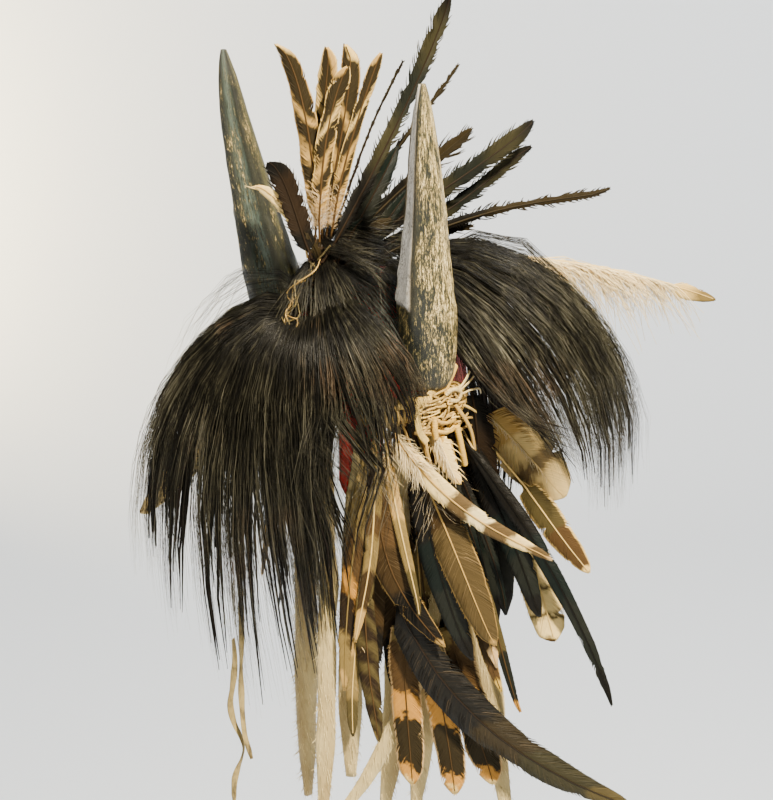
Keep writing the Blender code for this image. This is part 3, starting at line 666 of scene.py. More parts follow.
def hairGuides(curtain, ends, points, below=False):
    # guide lines over a curtain of locks, drawn together below where the locks part
    locks = curtain["rows"]
    controls = np.array([lockControls(curtain["lift"], lock) for lock in locks])
    count = (len(locks) - 1) * hair["guidesPerLock"] + 1
    places = np.linspace(-0.22, len(locks) - 0.78, count)
    random = np.random.default_rng(len(locks))
    lines, spreads, lifts = [], [], []
    for place in places:
        t = np.linspace(0, 1, points) * (1.03 - 0.16 * random.random() ** 1.5)
        nearest = int(np.clip(round(place), 0, len(locks) - 1))
        gather = curtain["clump"] * smoothStep((t - curtain["part"] + 0.35) / 0.6)
        at = place + (nearest - place) * gather
        index = np.clip(np.floor(at).astype(int), 0, len(locks) - 2)
        share = (at - index)[:, None]
        here = np.array([bezierPoints(controls[i] * (1 - s) + controls[i + 1] * s, np.array([u]))[0]
                         for i, s, u in zip(index, share[:, 0], t)])
        slope = np.gradient(here, axis=0)
        away = controls[nearest][3] - controls[nearest][0]
        level = unit(np.cross(up, away))
        out = unit(np.cross(slope, level))
        thick = locks[nearest][9] * (1 - 0.5 * abs(place - nearest))
        depth = np.minimum(thick, 4.5 + 3.5 * t * thick)
        depth = np.maximum(1.2, depth * (1 - np.clip((t - 0.55) / 0.45, 0, 1) ** 1.5))
        gap = np.linalg.norm(bezierPoints(controls[min(nearest + 1, len(locks) - 1)], t)
                             - bezierPoints(controls[max(nearest - 1, 0)], t), axis=1)
        half = gap / 2 / hair["guidesPerLock"] * (1 - 0.6 * gather)
        height = -0.15 * depth if below else depth * 0.75 + 0.3
        lines.append(parted(here + out * height[:, None]))
        spreads.append(level * half[:, None])
        lifts.append(out * (0.5 * depth if below else hair["float"] + 0.35 * depth)[:, None])
    fields = {"spread": np.array(spreads) * mm, "lift": np.array(lifts) * mm,
              "along": np.tile(np.linspace(0, 1, points), (count, 1))}
    return lineMesh(ends, np.array(lines) * mm, fields)


def laidGuides(name, rows, count, points):
    # guide lines between a few laid lines, each a list of heading, reach and height
    rows = np.array(rows, dtype=float)
    shares = np.linspace(0, 1, points)
    swept = np.stack([along(row, shares) for row in rows])
    swept = np.stack([along(swept[:, k], np.linspace(0, 1, count)) for k in range(points)], axis=1)
    lines = heading(swept[..., 0]) * swept[..., 1:2] + up * swept[..., 2:]
    aside = unit(np.gradient(lines, axis=0))
    gap = np.linalg.norm(np.gradient(lines, axis=0), axis=-1, keepdims=True)
    out = unit(lines * np.array((1.0, 1.0, 0.6)))
    fields = {"spread": aside * gap * mm, "lift": out * hair["float"] * 2 * mm,
              "along": np.tile(shares, (count, 1))}
    return lineMesh(name, lines * mm, fields)


def crownGuides():
    # guide lines that run out from the crown tie over the dome, under the curtains
    crown = hair["crown"]
    turns = np.linspace(0, 360, crown["guides"], endpoint=False)
    foot = np.array(crown["middle"])
    t = np.linspace(0, 1, hair["points"])
    lines, spreads, lifts = [], [], []
    for turn in turns:
        away = heading(turn)
        runs = np.linspace(crown["from"], crown["upTo"], 60)
        places = foot + away * runs[:, None]
        kept = places[domeHeight(places[:, 0], places[:, 1]) > crown["lowest"]]
        here = foot + away * (crown["from"] + (np.linalg.norm(kept[-1] - foot) - crown["from"]) * t)[:, None]
        here = here + up * (domeHeight(here[:, 0], here[:, 1]) + crown["rise"] * np.sin(np.pi * t ** 0.7)
                            + crown["clear"])[:, None]
        width = np.linalg.norm(here[:, :2] - foot[:2], axis=1) * np.pi / crown["guides"]
        lines.append(here)
        spreads.append(heading(turn + 90) * width[:, None])
        lifts.append(np.tile(up * hair["float"], (len(t), 1)))
    fields = {"spread": np.array(spreads) * mm, "lift": np.array(lifts) * mm,
              "along": np.tile(t, (len(turns), 1))}
    return lineMesh("crown_guides", np.array(lines) * mm, fields)


def makeHair():
    finish, sheenPaint = hairMaterial("hair", 0.0), hairMaterial("sheen painted hair", 0.75)
    under = hairUnderMaterial()
    for seed, (name, curtain) in enumerate(hairLocks.items()):
        fine = {"Strands": curtain["strands"], "Spread": 1.5, "Wave": curtain["wave"],
                "Wave Size": hair["waveSize"], "Fray": hair["fray"],
                "Shortest": curtain.get("shortest", 0.5), "Girth": hair["girth"], "Sides": 3,
                "Seed": 11 + seed, "Finish": finish}
        thick = {**fine, "Strands": hair["fillers"], "Spread": 1.0, "Shortest": 0.6, "Finish": under,
                 "Fray": 0.002, "Wave": curtain["wave"] * 0.5, "Girth": hair["fillerGirth"]}
        loose = {**fine, "Strands": hair["loose"], "Spread": 4.0, "Wave": curtain["wave"] * 2.3,
                 "Fray": 0.013, "Shortest": 0.5, "Girth": hair["girth"] * 0.5, "Seed": 31 + seed}
        layers = []
        for label, values in (("fine", fine), ("thick", thick), ("loose", loose)):
            guides = hairGuides(curtain, name + "_guides", hair["points"], label == "thick")
            layers.append(grow(guides, strands, values, name + "_" + label))
        piece = fit(joined(name.replace("hair", "strands"), layers), "dark_hair", name)
        print(name, "grown,", len(piece.data.polygons), "faces")
    crown = hair["crown"]
    values = {"Strands": crown["strands"], "Spread": 1.6, "Wave": 0.026, "Wave Size": 22.0, "Fray": 0.007,
              "Shortest": 0.42, "Girth": hair["girth"] * 1.3, "Sides": 3, "Seed": 5, "Finish": finish}
    fit(grow(crownGuides(), strands, values, "strands_crown"), "dark_hair")
    for seed, (name, laid) in enumerate(laidHair.items()):
        values = {"Strands": laid["strands"], "Spread": 1.8, "Wave": laid["wave"], "Wave Size": 20.0,
                  "Fray": 0.012, "Shortest": 0.5, "Girth": laid.get("girth", hair["girth"]), "Sides": 3,
                  "Seed": 51 + seed, "Finish": sheenPaint if laid.get("sheenPaint") else finish}
        guides = laidGuides(name, laid["rows"], laid["guides"], hair["points"])
        fit(grow(guides, strands, values, name), "dark_hair")


makeHair()


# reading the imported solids
def mergedCopy(name):
    bm = bmesh.new()
    bm.from_mesh(nodes[name].data)
    bmesh.ops.remove_doubles(bm, verts=bm.verts, dist=2e-6)
    bm.verts.index_update()
    return bm


def readRings(name, size, away):
    # the rings of a packed loft, walked along its edges from the end that lies furthest along away;
    # a set keeps no lasting order, so each ring is sorted and its sums round the same every time
    bm = mergedCopy(name)
    first = max(bm.verts, key=lambda v: away(v.co))
    near = sorted(bm.verts, key=lambda v: (v.co - first.co).length)
    ring, seen, rings = set(near[:size]), set(), []
    while len(ring) == size:
        ordered = sorted(ring, key=lambda v: v.index, reverse=True)
        rings.append(np.array([v.co for v in ordered]))
        seen |= ring
        ring = {e.other_vert(v) for v in ring for e in v.link_edges} - seen
    bm.free()
    return rings


def middleOf(name):
    low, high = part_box(name)
    return (Vector(low) + Vector(high)) / 2


def tubeMesh(name, rings, values=None):
    # a closed skin through rings of points from top to bottom, with a pole at each end
    count, around = rings.shape[:2]
    points = np.vstack((rings.reshape(-1, 3), rings[0].mean(axis=0), rings[-1].mean(axis=0)))
    faces = [(i + j, i + around + j, i + around + (j + 1) % around, i + (j + 1) % around)
             for i in range(0, (count - 1) * around, around) for j in range(around)]
    last = (count - 1) * around
    for j in range(around):
        k = (j + 1) % around
        faces += [(count * around, j, k), (count * around + 1, last + k, last + j)]
    mesh = bpy.data.meshes.new(name)
    mesh.from_pydata(points.tolist(), [], faces)
    for label, grid in (values or {}).items():
        layer = mesh.attributes.new(label, "FLOAT", "POINT")
        ends = (grid[0].mean(), grid[-1].mean())
        layer.data.foreach_set("value", np.concatenate((grid.ravel(), ends)))
    bm = bmesh.new()
    bm.from_mesh(mesh)
    bmesh.ops.recalc_face_normals(bm, faces=bm.faces)
    bm.to_mesh(mesh)
    bm.free()
    mesh.shade_smooth()
    return mesh


def fineNoise(shape, seed, rows, columns):
    # smooth random relief over a grid that closes round itself
    random = np.random.default_rng(seed)
    coarse = random.normal(0, 1, (rows, columns))
    v = np.linspace(0, rows - 1.001, shape[0])
    u = np.linspace(0, columns, shape[1], endpoint=False)
    r, c = v.astype(int), u.astype(int)
    fv, fu = smoothStep(v - r)[:, None], smoothStep(u - c)[None, :]
    pick = lambda i, j: coarse[np.ix_((r + i) % rows, (c + j) % columns)]
    return ((pick(0, 0) * (1 - fu) + pick(0, 1) * fu) * (1 - fv)
            + (pick(1, 0) * (1 - fu) + pick(1, 1) * fu) * fv)


def smoothRings(rings, rows, around):
    # more rings, each a smooth closed outline through its corners
    rings = np.array(rings)
    middle = rings.mean(axis=1)
    run = unit(middle[-1] - middle[0])
    corners = []
    side = None
    for ring, centre in zip(rings, middle):
        gaps = ring - centre
        if side is None:
            widest = gaps[np.linalg.norm(gaps, axis=1).argmax()]
            side = unit(widest - run * widest.dot(run))
        other = np.cross(run, side)
        order = np.argsort(np.arctan2(gaps @ other, gaps @ side) % (2 * math.pi))
        corners.append(ring[order])
    corners = np.array(corners)
    start = np.argmin(np.abs(np.arctan2((corners - middle[:, None]) @ np.cross(run, side),
                                        (corners - middle[:, None]) @ side)), axis=1)
    corners = np.array([np.roll(ring, -k, axis=0) for ring, k in zip(corners, start)])
    shares = np.linspace(0, 1, rows)
    lengthways = np.stack([along(corners[:, k], shares) for k in range(corners.shape[1])], axis=1)
    closed = np.concatenate((lengthways, lengthways[:, :1]), axis=1)
    size = corners.shape[1]
    result = []
    for ring in closed:
        place = np.arange(around) * size / around
        k = place.astype(int)
        f = (place - k)[:, None]
        result.append(curveAt(*(ring[:-1][(k + i) % size] for i in (-1, 0, 1, 2)), f))
    return np.array(result)


# feathers: a shaft and its barbs, laid on the line and width of each packed feather
feather = {"pitch": 0.0026, "girth": 0.00072, "sheetWall": 0.0003, "sheetRows": 34,
           "sheetAcross": (-1.0, -0.66, -0.33, 0.0, 0.33, 0.66, 1.0), "fluffGirth": 0.00040,
           "fluffPoints": 6, "shaftGirth": (0.0013, 0.00045), "shaftFlatness": 0.8, "flatness": 0.24,
           "shaftEnd": 0.985, "shaftPoints": 18, "shaftLift": 0.0004, "leastWidth": 0.0036,
           "stemHalf": 0.0012, "sway": 0.0014, "edgeScatter": 0.0008, "splitWidth": 0.03,
           "barbBend": (0.36, 0.68), "leanScatter": 0.03, "sheetEnd": 0.995, "notchWidth": 0.012,
           "baseAngle": 62, "tipAngle": 27, "droop": 0.10, "barbPoints": (0.0, 0.4, 0.78, 1.0),
           "barbTaper": (0.5, 1.0, 0.85, 0.18)}
feathersFrom = {"crown_tie": ("owl_feather", "raven", "brown_short", "pale_curled", "back_plume"),
                "side_tie_left": ("side_feather", "wing_feather", "fan_feather"),
                "side_tie_right": ("far_feather",)}


def readSpine(name, tie):
    # centre, facing, side and both widths at each ring, from the root to the tip
    middle = middleOf(tie)
    rings = readRings(name, 4, lambda place: (place - middle).length)[::-1]
    centres = np.array([ring.mean(axis=0) for ring in rings])
    run = unit(centres[-1] - centres[0])
    rows = []
    for ring in rings:
        gaps = np.linalg.norm(ring[:, None] - ring[None, :], axis=-1)
        a, b = np.unravel_index(gaps.argmax(), gaps.shape)
        rest = [i for i in range(4) if i not in (a, b)]
        if gaps[a, b] < feather["leastWidth"]:
            rows.append(None)
            continue
        centre = ring[rest].mean(axis=0)
        side = ring[b] - ring[a]
        side = unit(side - run * side.dot(run))
        facing = np.cross(side, run)
        facing *= np.sign(facing.dot(centre - (ring[a] + ring[b]) / 2))
        side = np.cross(run, facing)
        if (ring[b] - ring[a]).dot(side) < 0:
            a, b = b, a
        rows.append((centre, facing, side, np.linalg.norm(ring[a] - centre),
                     np.linalg.norm(ring[b] - centre)))
    wide = [i for i, row in enumerate(rows) if row]
    table = []
    for i, row in enumerate(rows):
        nearest = rows[min(wide, key=lambda k: abs(k - i))]
        if row is None:
            row = (centres[i], nearest[1], nearest[2], feather["stemHalf"], feather["stemHalf"])
        table.append(np.concatenate([np.ravel(part) for part in row]))
    return np.array(table)


def at(spine, shares):
    # centre, facing, side and widths at shares of the spine's length
    steps = np.concatenate(((0,), np.cumsum(np.linalg.norm(np.diff(spine[:, :3], axis=0), axis=1))))
    knots = steps / steps[-1]
    centre = along(spine[:, :3], shares)
    others = [np.interp(shares, knots, spine[:, i]) for i in range(3, 11)]
    facing = unit(np.stack(others[0:3], axis=-1))
    side = unit(np.stack(others[3:6], axis=-1))
    return centre, facing, side, others[6], others[7], steps[-1], knots


def vaneReach(look, seed):
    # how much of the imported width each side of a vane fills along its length
    random = np.random.default_rng(seed + 900)
    waves = random.uniform(-1, 1, (2, 10))

    def reach(sign, far):
        place = np.clip(far, 0, 1) * 8.99
        low = place.astype(int)
        share = smoothStep(place - low)
        row = waves[0 if sign < 0 else 1]
        fill = 1 - look.get("wavy", 0.08) * (0.5 + 0.5 * (row[low] * (1 - share) + row[low + 1] * share))
        narrow = look.get("narrow", 1.0)
        fill = fill * look.get("wide", 1.0) * (1 + look.get("full", 0.0) * smoothStep((far - 0.68) / 0.25))
        return fill * (narrow + (1 - narrow) * smoothStep((far - 0.76) / 0.07))

    return reach


def swayed(spine, look, seed):
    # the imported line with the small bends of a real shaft, and a curl at the tip
    random = np.random.default_rng(seed + 700)
    share = np.linspace(0, 1, len(spine))[:, None]
    side, facing = spine[:, 6:9], spine[:, 3:6]
    sway = look.get("sway", feather["sway"])
    bend = sway * np.sin(2 * np.pi * (1.2 * share + random.random())) * share ** 0.7
    moved = spine.copy()
    moved[:, :3] += side * (bend + look.get("curl", 0.0) * share ** 5)
    moved[:, :3] += facing * sway * 1.5 * np.sin(2 * np.pi * (share + random.random()))
    return moved


def stemOf(spine):
    # the length of a spine, and the share of it that is bare stem
    length, knots = at(spine, np.array((0.0,)))[5:]
    return length, knots[1]


def layBarbs(spine, look, seed):
    random = np.random.default_rng(seed)
    reach = vaneReach(look, seed)
    length, stem = stemOf(spine)
    count = max(12, int(length * (1 - stem) / feather["pitch"]))
    u = np.array(feather["barbPoints"])[None, :, None]
    lines, girths, facings, fars, acrosses, tints, barbs = [], [], [], [], [], [], []
    splits = random.uniform(0.2, 0.95, look.get("splits", 3))
    for sign in (-1, 1):
        edge = np.linspace(stem + 0.01, 1, count) + random.normal(0, feather["edgeScatter"], count)
        edge = np.clip(edge, stem, 1)
        centre, facing, side, left, right = at(spine, edge)[:5]
        width = (left if sign < 0 else right) * random.uniform(1 - look.get("ragged", 0.1), 1.03, count)
        share = (edge - stem) / (1 - stem)
        width = width * reach(sign, share)
        angle = vaneAngle(share)
        base = np.maximum(stem * 0.97, edge - width / np.tan(angle) / length)
        parting = np.zeros(count)
        for split in splits:
            near = np.exp(-np.abs(edge - split) / feather["splitWidth"])
            parting += np.sign(edge - split) * near * random.uniform(0, 1)
        spread = parting * look.get("gap", 0.0025)
        start = at(spine, base)[0]
        ahead, aside = feather["barbBend"]
        bend = at(spine, base + ahead * (edge - base))[0] + (sign * side) * (width * aside)[:, None]
        run = unit(np.gradient(centre, axis=0))
        stop = centre + (sign * side) * width[:, None] + run * spread[:, None]
        points = (1 - u) ** 2 * start[:, None] + 2 * u * (1 - u) * bend[:, None] + u * u * stop[:, None]
        lean = look.get("droop", feather["droop"]) + random.normal(0, feather["leanScatter"], count)
        points = points - facing[:, None] * (u * u * (lean * width)[:, None, None])
        lines.append(points)
        fill = feather["girth"] * random.uniform(0.85, 1.1, count)
        girths.append(fill[:, None] * np.array(feather["barbTaper"])[None])
        facings.append(np.repeat(facing[:, None], u.size, axis=1))
        far = base[:, None] + (edge - base)[:, None] * u[..., 0]
        fars.append((far - stem) / (1 - stem))
        acrosses.append(np.repeat(sign * u[..., 0], count, axis=0))
        tints.append(np.repeat(random.uniform(0, 1, count)[:, None], u.size, axis=1))
        barbs.append(np.repeat(base[:, None] * length / mm, u.size, axis=1))
    fields = {"girth": girths, "facing": facings, "along": fars, "across": acrosses, "tint": tints,
              "barb": barbs}
    fields = {name: np.concatenate(parts) for name, parts in fields.items()}
    fields["shaft"] = np.zeros_like(fields["girth"])
    return np.concatenate(lines), fields


def vaneAngle(share):
    return np.radians(feather["baseAngle"] + (feather["tipAngle"] - feather["baseAngle"]) * share)


def layVane(spine, look, seed, name, finish):
    # a thin closed sheet under the barbs, notched where the vane is split
    random = np.random.default_rng(seed)
    across = np.array(feather["sheetAcross"])
    length, stem = stemOf(spine)
    shares = np.linspace(stem, feather["sheetEnd"], feather["sheetRows"])
    centre, facing, side, left, right = at(spine, shares)[:5]
    far = (shares - stem) / (1 - stem)
    reach = vaneReach(look, seed)
    fill = look.get("fill", 0.93) * np.stack((reach(-1, far), reach(1, far)))
    for split in random.uniform(0.15, 0.92, look.get("splits", 3)):
        deep = random.uniform(0.1, 0.55)
        fill[random.integers(2)] *= 1 - deep * np.exp(-((far - split) / feather["notchWidth"]) ** 2)
    droop = look.get("droop", feather["droop"])
    half = np.where(across[None] < 0, (left * fill[0])[:, None], (right * fill[1])[:, None])
    offset = side[:, None] * (across[None] * half)[..., None]
    lowered = facing[:, None] * (droop * across[None] ** 2 * half)[..., None]
    top = centre[:, None] + offset - lowered
    wall = facing[:, None] * feather["sheetWall"] / 2
    rings = np.concatenate((top + wall, (top - wall)[:, ::-1]), axis=1)
    flat = np.concatenate((across, across[::-1]))[None] * np.ones((len(shares), 1))
    gone = np.abs(flat) * np.concatenate((half, half[:, ::-1]), axis=1)
    barb = shares[:, None] * length - gone / np.tan(vaneAngle(far))[:, None]
    fars = np.repeat(far[:, None], flat.shape[1], axis=1)
    values = {"along": fars, "across": flat, "barb": barb / mm, "tint": np.full_like(flat, 0.5),
              "shaft": np.zeros_like(flat)}
    return addPiece(name, tubeMesh(name, rings, values), finish)


def looseBarbs(start, first, drop, length, random, curl):
    # soft curling barbs: each leaves along first, sags by drop and wanders as it goes
    u = np.linspace(0, 1, feather["fluffPoints"])[None, :, None]
    long = length[:, None, None]
    phase = random.uniform(0, 6.28, (len(start), 1, 3))
    swirl = np.sin(u * random.uniform(3, 8, (len(start), 1, 3)) + phase) - np.sin(phase)
    return (start[:, None] + first[:, None] * u * long - up * (drop * u ** 2 * long)
            + swirl * curl * u * long)


def layFluff(spine, look, seed):
    # down about the foot of the vane, or along the whole shaft of a downy feather
    random = np.random.default_rng(seed)
    plume = look.get("plume", 0.0)
    count = look.get("tufts", 54)
    stem = stemOf(spine)[1]
    last = 0.8 if plume else min(0.9, stem + 0.16)
    share = stem * 0.5 + (last - stem * 0.5) * random.random(count)
    centre, facing, side = at(spine, share)[:3]
    run = unit(at(spine, share + 0.02)[0] - centre)
    sign = random.choice((-1, 1), count)[:, None]
    far = np.clip((share - stem) / (1 - stem), 0, 1)
    if plume:
        reach = plume * (1 - 0.8 * far ** 1.4) * (0.10 + 0.9 * random.random(count) ** 1.6)
        first = run * random.uniform(0.3, 1.0, (count, 1)) + sign * facing * 0.25 + up * 0.12
        drop = random.uniform(0.35, 0.95, count)[:, None, None]
    else:
        widest = max(0.010, 1.5 * float(np.max(at(spine, np.array((stem + 0.2,)))[3])))
        reach = widest * random.uniform(0.6, 1.2, count)
        first = (sign * side * random.uniform(0.35, 1.0, (count, 1)) + run * 0.8
                 + facing * random.uniform(-0.3, 0.6, (count, 1)))
        drop = 0.2
    lines = looseBarbs(centre, first, drop, reach, random, look.get("curlUp", 0.10))
    size = lines.shape[:2]
    girth = look.get("downGirth", feather["fluffGirth"]) * np.linspace(1.0, 0.3, size[1])
    girth = girth[None] * np.ones(size)
    fields = {"girth": girth, "facing": np.repeat(facing[:, None], size[1], axis=1),
              "tint": random.random((count, 1)) * np.ones(size)}
    return lines, fields


def fluffMaterial(name, colour):
    material, tree, shader = newMaterial(name, roughness=0.85, sheen=0.4)
    tint = attribute(tree, "tint")
    pale = tuple(min(1.0, c * 1.25) for c in colour)
    deep = tuple(c * 0.6 for c in colour)
    shade = colourRamp(tree, tint, (0.0, deep), (0.5, colour), (1.0, pale))
    paint(tree, shader, shade)
    return material


def layShaft(spine):
    shares = np.linspace(0, feather["shaftEnd"], feather["shaftPoints"])
    laid = at(spine, shares)
    centre, facing, knots = laid[0], laid[1], laid[6]
    girth = np.interp(shares, (0, 1), feather["shaftGirth"])
    lines = (centre + facing * feather["shaftLift"])[None]
    far = ((shares - knots[1]) / (1 - knots[1]))[None]
    fields = {"girth": girth[None], "facing": facing[None], "along": far,
              "across": np.zeros_like(far), "tint": np.full_like(far, 0.5), "shaft": np.ones_like(far),
              "barb": far * 0}
    return lines, fields


colours = {
    "cream": (0.70, 0.51, 0.22), "ivory": (0.78, 0.61, 0.31), "white": (0.82, 0.69, 0.42),
    "brown": (0.036, 0.022, 0.009), "umber": (0.072, 0.042, 0.018), "olive": (0.070, 0.056, 0.024),
    "walnut": (0.066, 0.047, 0.021), "khaki": (0.20, 0.145, 0.058), "black": (0.005, 0.0045, 0.004),
    # teal is a painted sheen: the blue-green glint of glossy black feathers, laid in as colour
    "teal": (0.003, 0.0065, 0.006), "orange": (0.50, 0.25, 0.055), "tan": (0.46, 0.30, 0.11),
    "mauve": (0.100, 0.068, 0.035), "taupe": (0.17, 0.125, 0.070), "sand": (0.68, 0.52, 0.26),
    "slate": (0.0095, 0.0115, 0.010), "gold": (0.62, 0.42, 0.10), "bark": (0.024, 0.018, 0.009),
    "pink": (0.66, 0.46, 0.26), "soot": (0.016, 0.010, 0.006), "moss": (0.028, 0.026, 0.014),
}


def barred(ground, bar, count, share=0.45, tip=None):
    # bands of two colours, in turn, up the feather
    bands = []
    for i in range(count):
        bands += [(i / count, ground), ((i + 1 - share) / count, bar)]
    if tip:
        bands.append((1 - 0.5 * share / count, tip))
    return tuple(bands)


# the looks of feathers: bands of colour from the root up, then what departs from the plain feather
owlLook = {"shaft": "umber", "blur": 0.16, "edge": "cream", "wavy": 0.25, "ragged": 0.2, "splits": 6,
           "gap": 0.003, "droop": 0.3, "patches": 36.0, "full": 0.5, "fluff": "tan", "tufts": 90}
looks = {
    "owlTall": {**owlLook, "blur": 0.12, "edge": "tan", "skew": 0.07, "patches": 40.0, "soft": 0.032,
        "edgeFrom": 0.86, "bands": ((0, "tan"), (.12, "bark"), (.27, "tan"), (.35, "bark"),
        (.54, "tan"), (.60, "bark"), (.95, "cream"))},
    "owlStreak": {**owlLook, "skew": -0.14, "soft": 0.036, "edgeFrom": 0.84, "bands": ((0, "tan"),
        (.14, "bark"), (.30, "tan"), (.38, "bark"), (.58, "cream"), (.64, "bark"), (.96, "tan"))},
    "owlPale": {**owlLook, "skew": 0.18, "soft": 0.040, "edgeFrom": 0.80, "tufts": 40,
        "bands": ((0, "cream"), (.16, "umber"), (.28, "cream"), (.40, "bark"), (.54, "cream"),
        (.64, "bark"), (.92, "tan"))},
    "raven": {"bands": ((0, "black"), (.3, "moss"), (.5, "slate"), (.7, "moss"), (.9, "black")),
        "shaft": "soot", "gloss": 0.5, "shine": 0.12, "ragged": 0.42, "splits": 14, "gap": 0.006,
        "fill": 0.64, "wavy": 0.14, "streak": 0.0, "soft": 0.05, "full": 0.5},
    # the teal band is painted sheen
    "ravenTeal": {"bands": ((0, "black"), (.35, "slate"), (.7, "teal")), "shaft": "soot", "gloss": 0.4,
        "shine": 0.14, "ragged": 0.3, "splits": 10, "wavy": 0.12, "fill": 0.75, "soft": 0.06},
    "ravenBrown": {"bands": ((0, "black"), (.5, "bark"), (.9, "bark")), "shaft": "bark", "gloss": 0.5,
        "ragged": 0.6, "splits": 16, "gap": 0.008, "wavy": 0.25, "fill": 0.5, "streak": 0.0,
        "soft": 0.05, "full": 0.7},
    "shortBrown": {"bands": ((0, "black"), (.2, "soot"), (.8, "black")), "shaft": "soot",
        "ragged": 0.25, "fill": 0.78, "splits": 12, "soft": 0.05, "full": 0.2, "streak": 0.0},
    "down": {"bands": ((0, "ivory"), (.9, "cream")), "shaft": "tan", "ragged": 0.5, "splits": 12,
        "gap": 0.008, "fill": 0.55, "gloss": 0.8, "fluff": "ivory", "tufts": 520, "plume": 0.024},
    "plume": {"bands": ((0, "ivory"), (.78, "cream"), (.86, "khaki")), "shaft": "cream", "ragged": 0.5,
        "splits": 10, "gap": 0.004, "fill": 0.9, "narrow": 0.25, "gloss": 0.8, "fluff": "ivory",
        "tufts": 1400, "plume": 0.105, "curlUp": 0.07, "soft": 0.03, "downGirth": 0.00060},
    "whiteBarred": {"bands": ((0, "ivory"), (.37, "mauve"), (.49, "white"), (.60, "mauve"),
        (.74, "ivory"), (.85, "mauve"), (.95, "pink")), "shaft": "tan", "blur": 0.04, "ragged": 0.35,
        "splits": 8, "fluff": "ivory", "tufts": 260},
    "brownShaft": {"bands": ((0, "brown"), (.3, "walnut"), (.95, "tan")), "shaft": "tan", "edge": "tan",
        "edgeFrom": 0.93, "streak": 0.9, "blur": 0.015, "fluff": "khaki"},
    "orangeBlack": {"bands": ((0, "khaki"), (.16, "umber"), (.44, "brown"), (.66, "black"),
        (.94, "tan")), "shaft": "umber", "edge": "tan", "edgeFrom": 0.93, "streak": 0.5,
        "fluff": "khaki"},
    "patched": {"bands": ((0, "cream"), (.16, "khaki"), (.30, "umber"), (.47, "orange"), (.56, "soot"),
        (.76, "khaki"), (.90, "tan")), "shaft": "khaki", "blur": 0.10, "patches": 60.0, "soft": 0.03,
        "skew": 0.05, "wavy": 0.2, "streak": 0.3},
    "tanThin": {"bands": ((0, "tan"), (.4, "khaki"), (.7, "olive")), "shaft": "cream", "streak": 0.8,
        "fluff": "cream"},
    "striped": {"bands": ((0, "khaki"), (.3, "umber"), (.42, "khaki"), (.6, "brown"), (.8, "tan")),
        "shaft": "cream", "streak": 0.6, "ragged": 0.3, "fluff": "khaki"},
    "pinkTip": {"bands": ((0, "umber"), (.7, "brown"), (.84, "pink")), "shaft": "tan", "splits": 6,
        "ragged": 0.25},
    "brownUnder": {"bands": ((0, "umber"), (.25, "brown"), (.7, "black"), (.95, "umber")),
        "shaft": "umber", "streak": 0.5, "ragged": 0.2, "splits": 5, "fluff": "khaki"},
    "goldTip": {"bands": ((0, "brown"), (.78, "umber"), (.88, "gold")), "shaft": "umber", "edge": "tan",
        "edgeFrom": 0.9},
    "olive": {"bands": ((0, "olive"), (.5, "umber"), (.92, "cream")), "shaft": "cream", "edge": "cream",
        "edgeFrom": 0.82},
    "creamBarred": {"bands": barred("ivory", "walnut", 5, .2, "umber"), "shaft": "cream", "blur": 0.06,
        "soft": 0.02, "skew": 0.04},
    "owlFan": {"bands": ((0, "tan"), (.30, "sand"), (.54, "taupe"), (.68, "sand")), "shaft": "sand",
        "blur": 0.05, "soft": 0.03, "droop": 0.2, "fluff": "sand", "tufts": 320, "splits": 3,
        "streak": 0.4},
    "curl": {"bands": ((0, "olive"), (.6, "slate"), (.9, "orange")), "shaft": "umber"},
    # the teal band is painted sheen
    "glossy": {"bands": ((0, "black"), (.35, "teal"), (.6, "slate"), (.85, "black")), "shaft": "black",
        "gloss": 0.36, "shine": 0.14, "splits": 5, "wavy": 0.12, "streak": 0.05},
    "wing": {"bands": ((0, "black"), (.46, "bark"), (.62, "moss"), (.84, "olive")), "shaft": "soot",
        "gloss": 0.45, "shine": 0.16, "splits": 9, "gap": 0.003, "edge": "slate", "edgeFrom": 0.95,
        "streak": 0.25},
    "fan": {"bands": ((0, "khaki"), (.20, "umber"), (.46, "orange"), (.60, "bark"), (.87, "orange"),
        (.95, "cream")), "shaft": "umber", "edge": "pink", "edgeFrom": 0.86, "blur": 0.09, "wavy": 0.15,
        "skew": 0.03, "full": 0.3},
    "khakiBarred": {"bands": barred("olive", "soot", 6, .55, "khaki"), "shaft": "umber", "blur": 0.10,
        "skew": 0.06, "soft": 0.03, "patches": 60.0, "streak": 0.3},
}
featherLooks = {
    "owl_feather_1": "owlTall", "owl_feather_2": "owlStreak", "owl_feather_3": "owlPale",
    "owl_feather_4": "owlTall", "owl_feather_5": "owlStreak", "brown_short_feather": "shortBrown",
    "pale_curled_feather": "down", "back_plume": "plume", "raven_feather_long": "raven",
    "raven_feather_teal": "ravenTeal", "raven_feather_thin": "raven", "raven_feather_narrow": "ravenBrown",
    "raven_feather_frayed": "ravenBrown", "raven_feather_upper": "raven", "raven_feather_olive": "raven",
    "raven_feather_twist": "ravenBrown", "side_feather_barred": "whiteBarred",
    "side_feather_patched": "patched", "side_feather_tan": "tanThin", "side_feather_low": "khakiBarred",
    "side_feather_cream": "creamBarred", "side_feather_fan": "owlFan", "side_feather_down": "down",
    "side_feather_brown": "brownShaft", "side_feather_orange": "orangeBlack",
    "side_feather_olive": "olive", "side_feather_curl": "curl", "side_feather_black": "glossy",
    "side_feather_teal": "ravenTeal", "side_feather_long": "glossy", "side_feather_blade": "glossy",
    "wing_feather": "wing", "fan_feather_1": "fan", "fan_feather_2": "fan", "fan_feather_3": "fan",
    "far_feather_pale": "creamBarred", "far_feather_brown": "brownShaft", "far_feather_long": "glossy",
}


fans = {"left": ((103, 6, 2), 40), "crown": ((-18, -50, 110), 60)}  # middle and heading
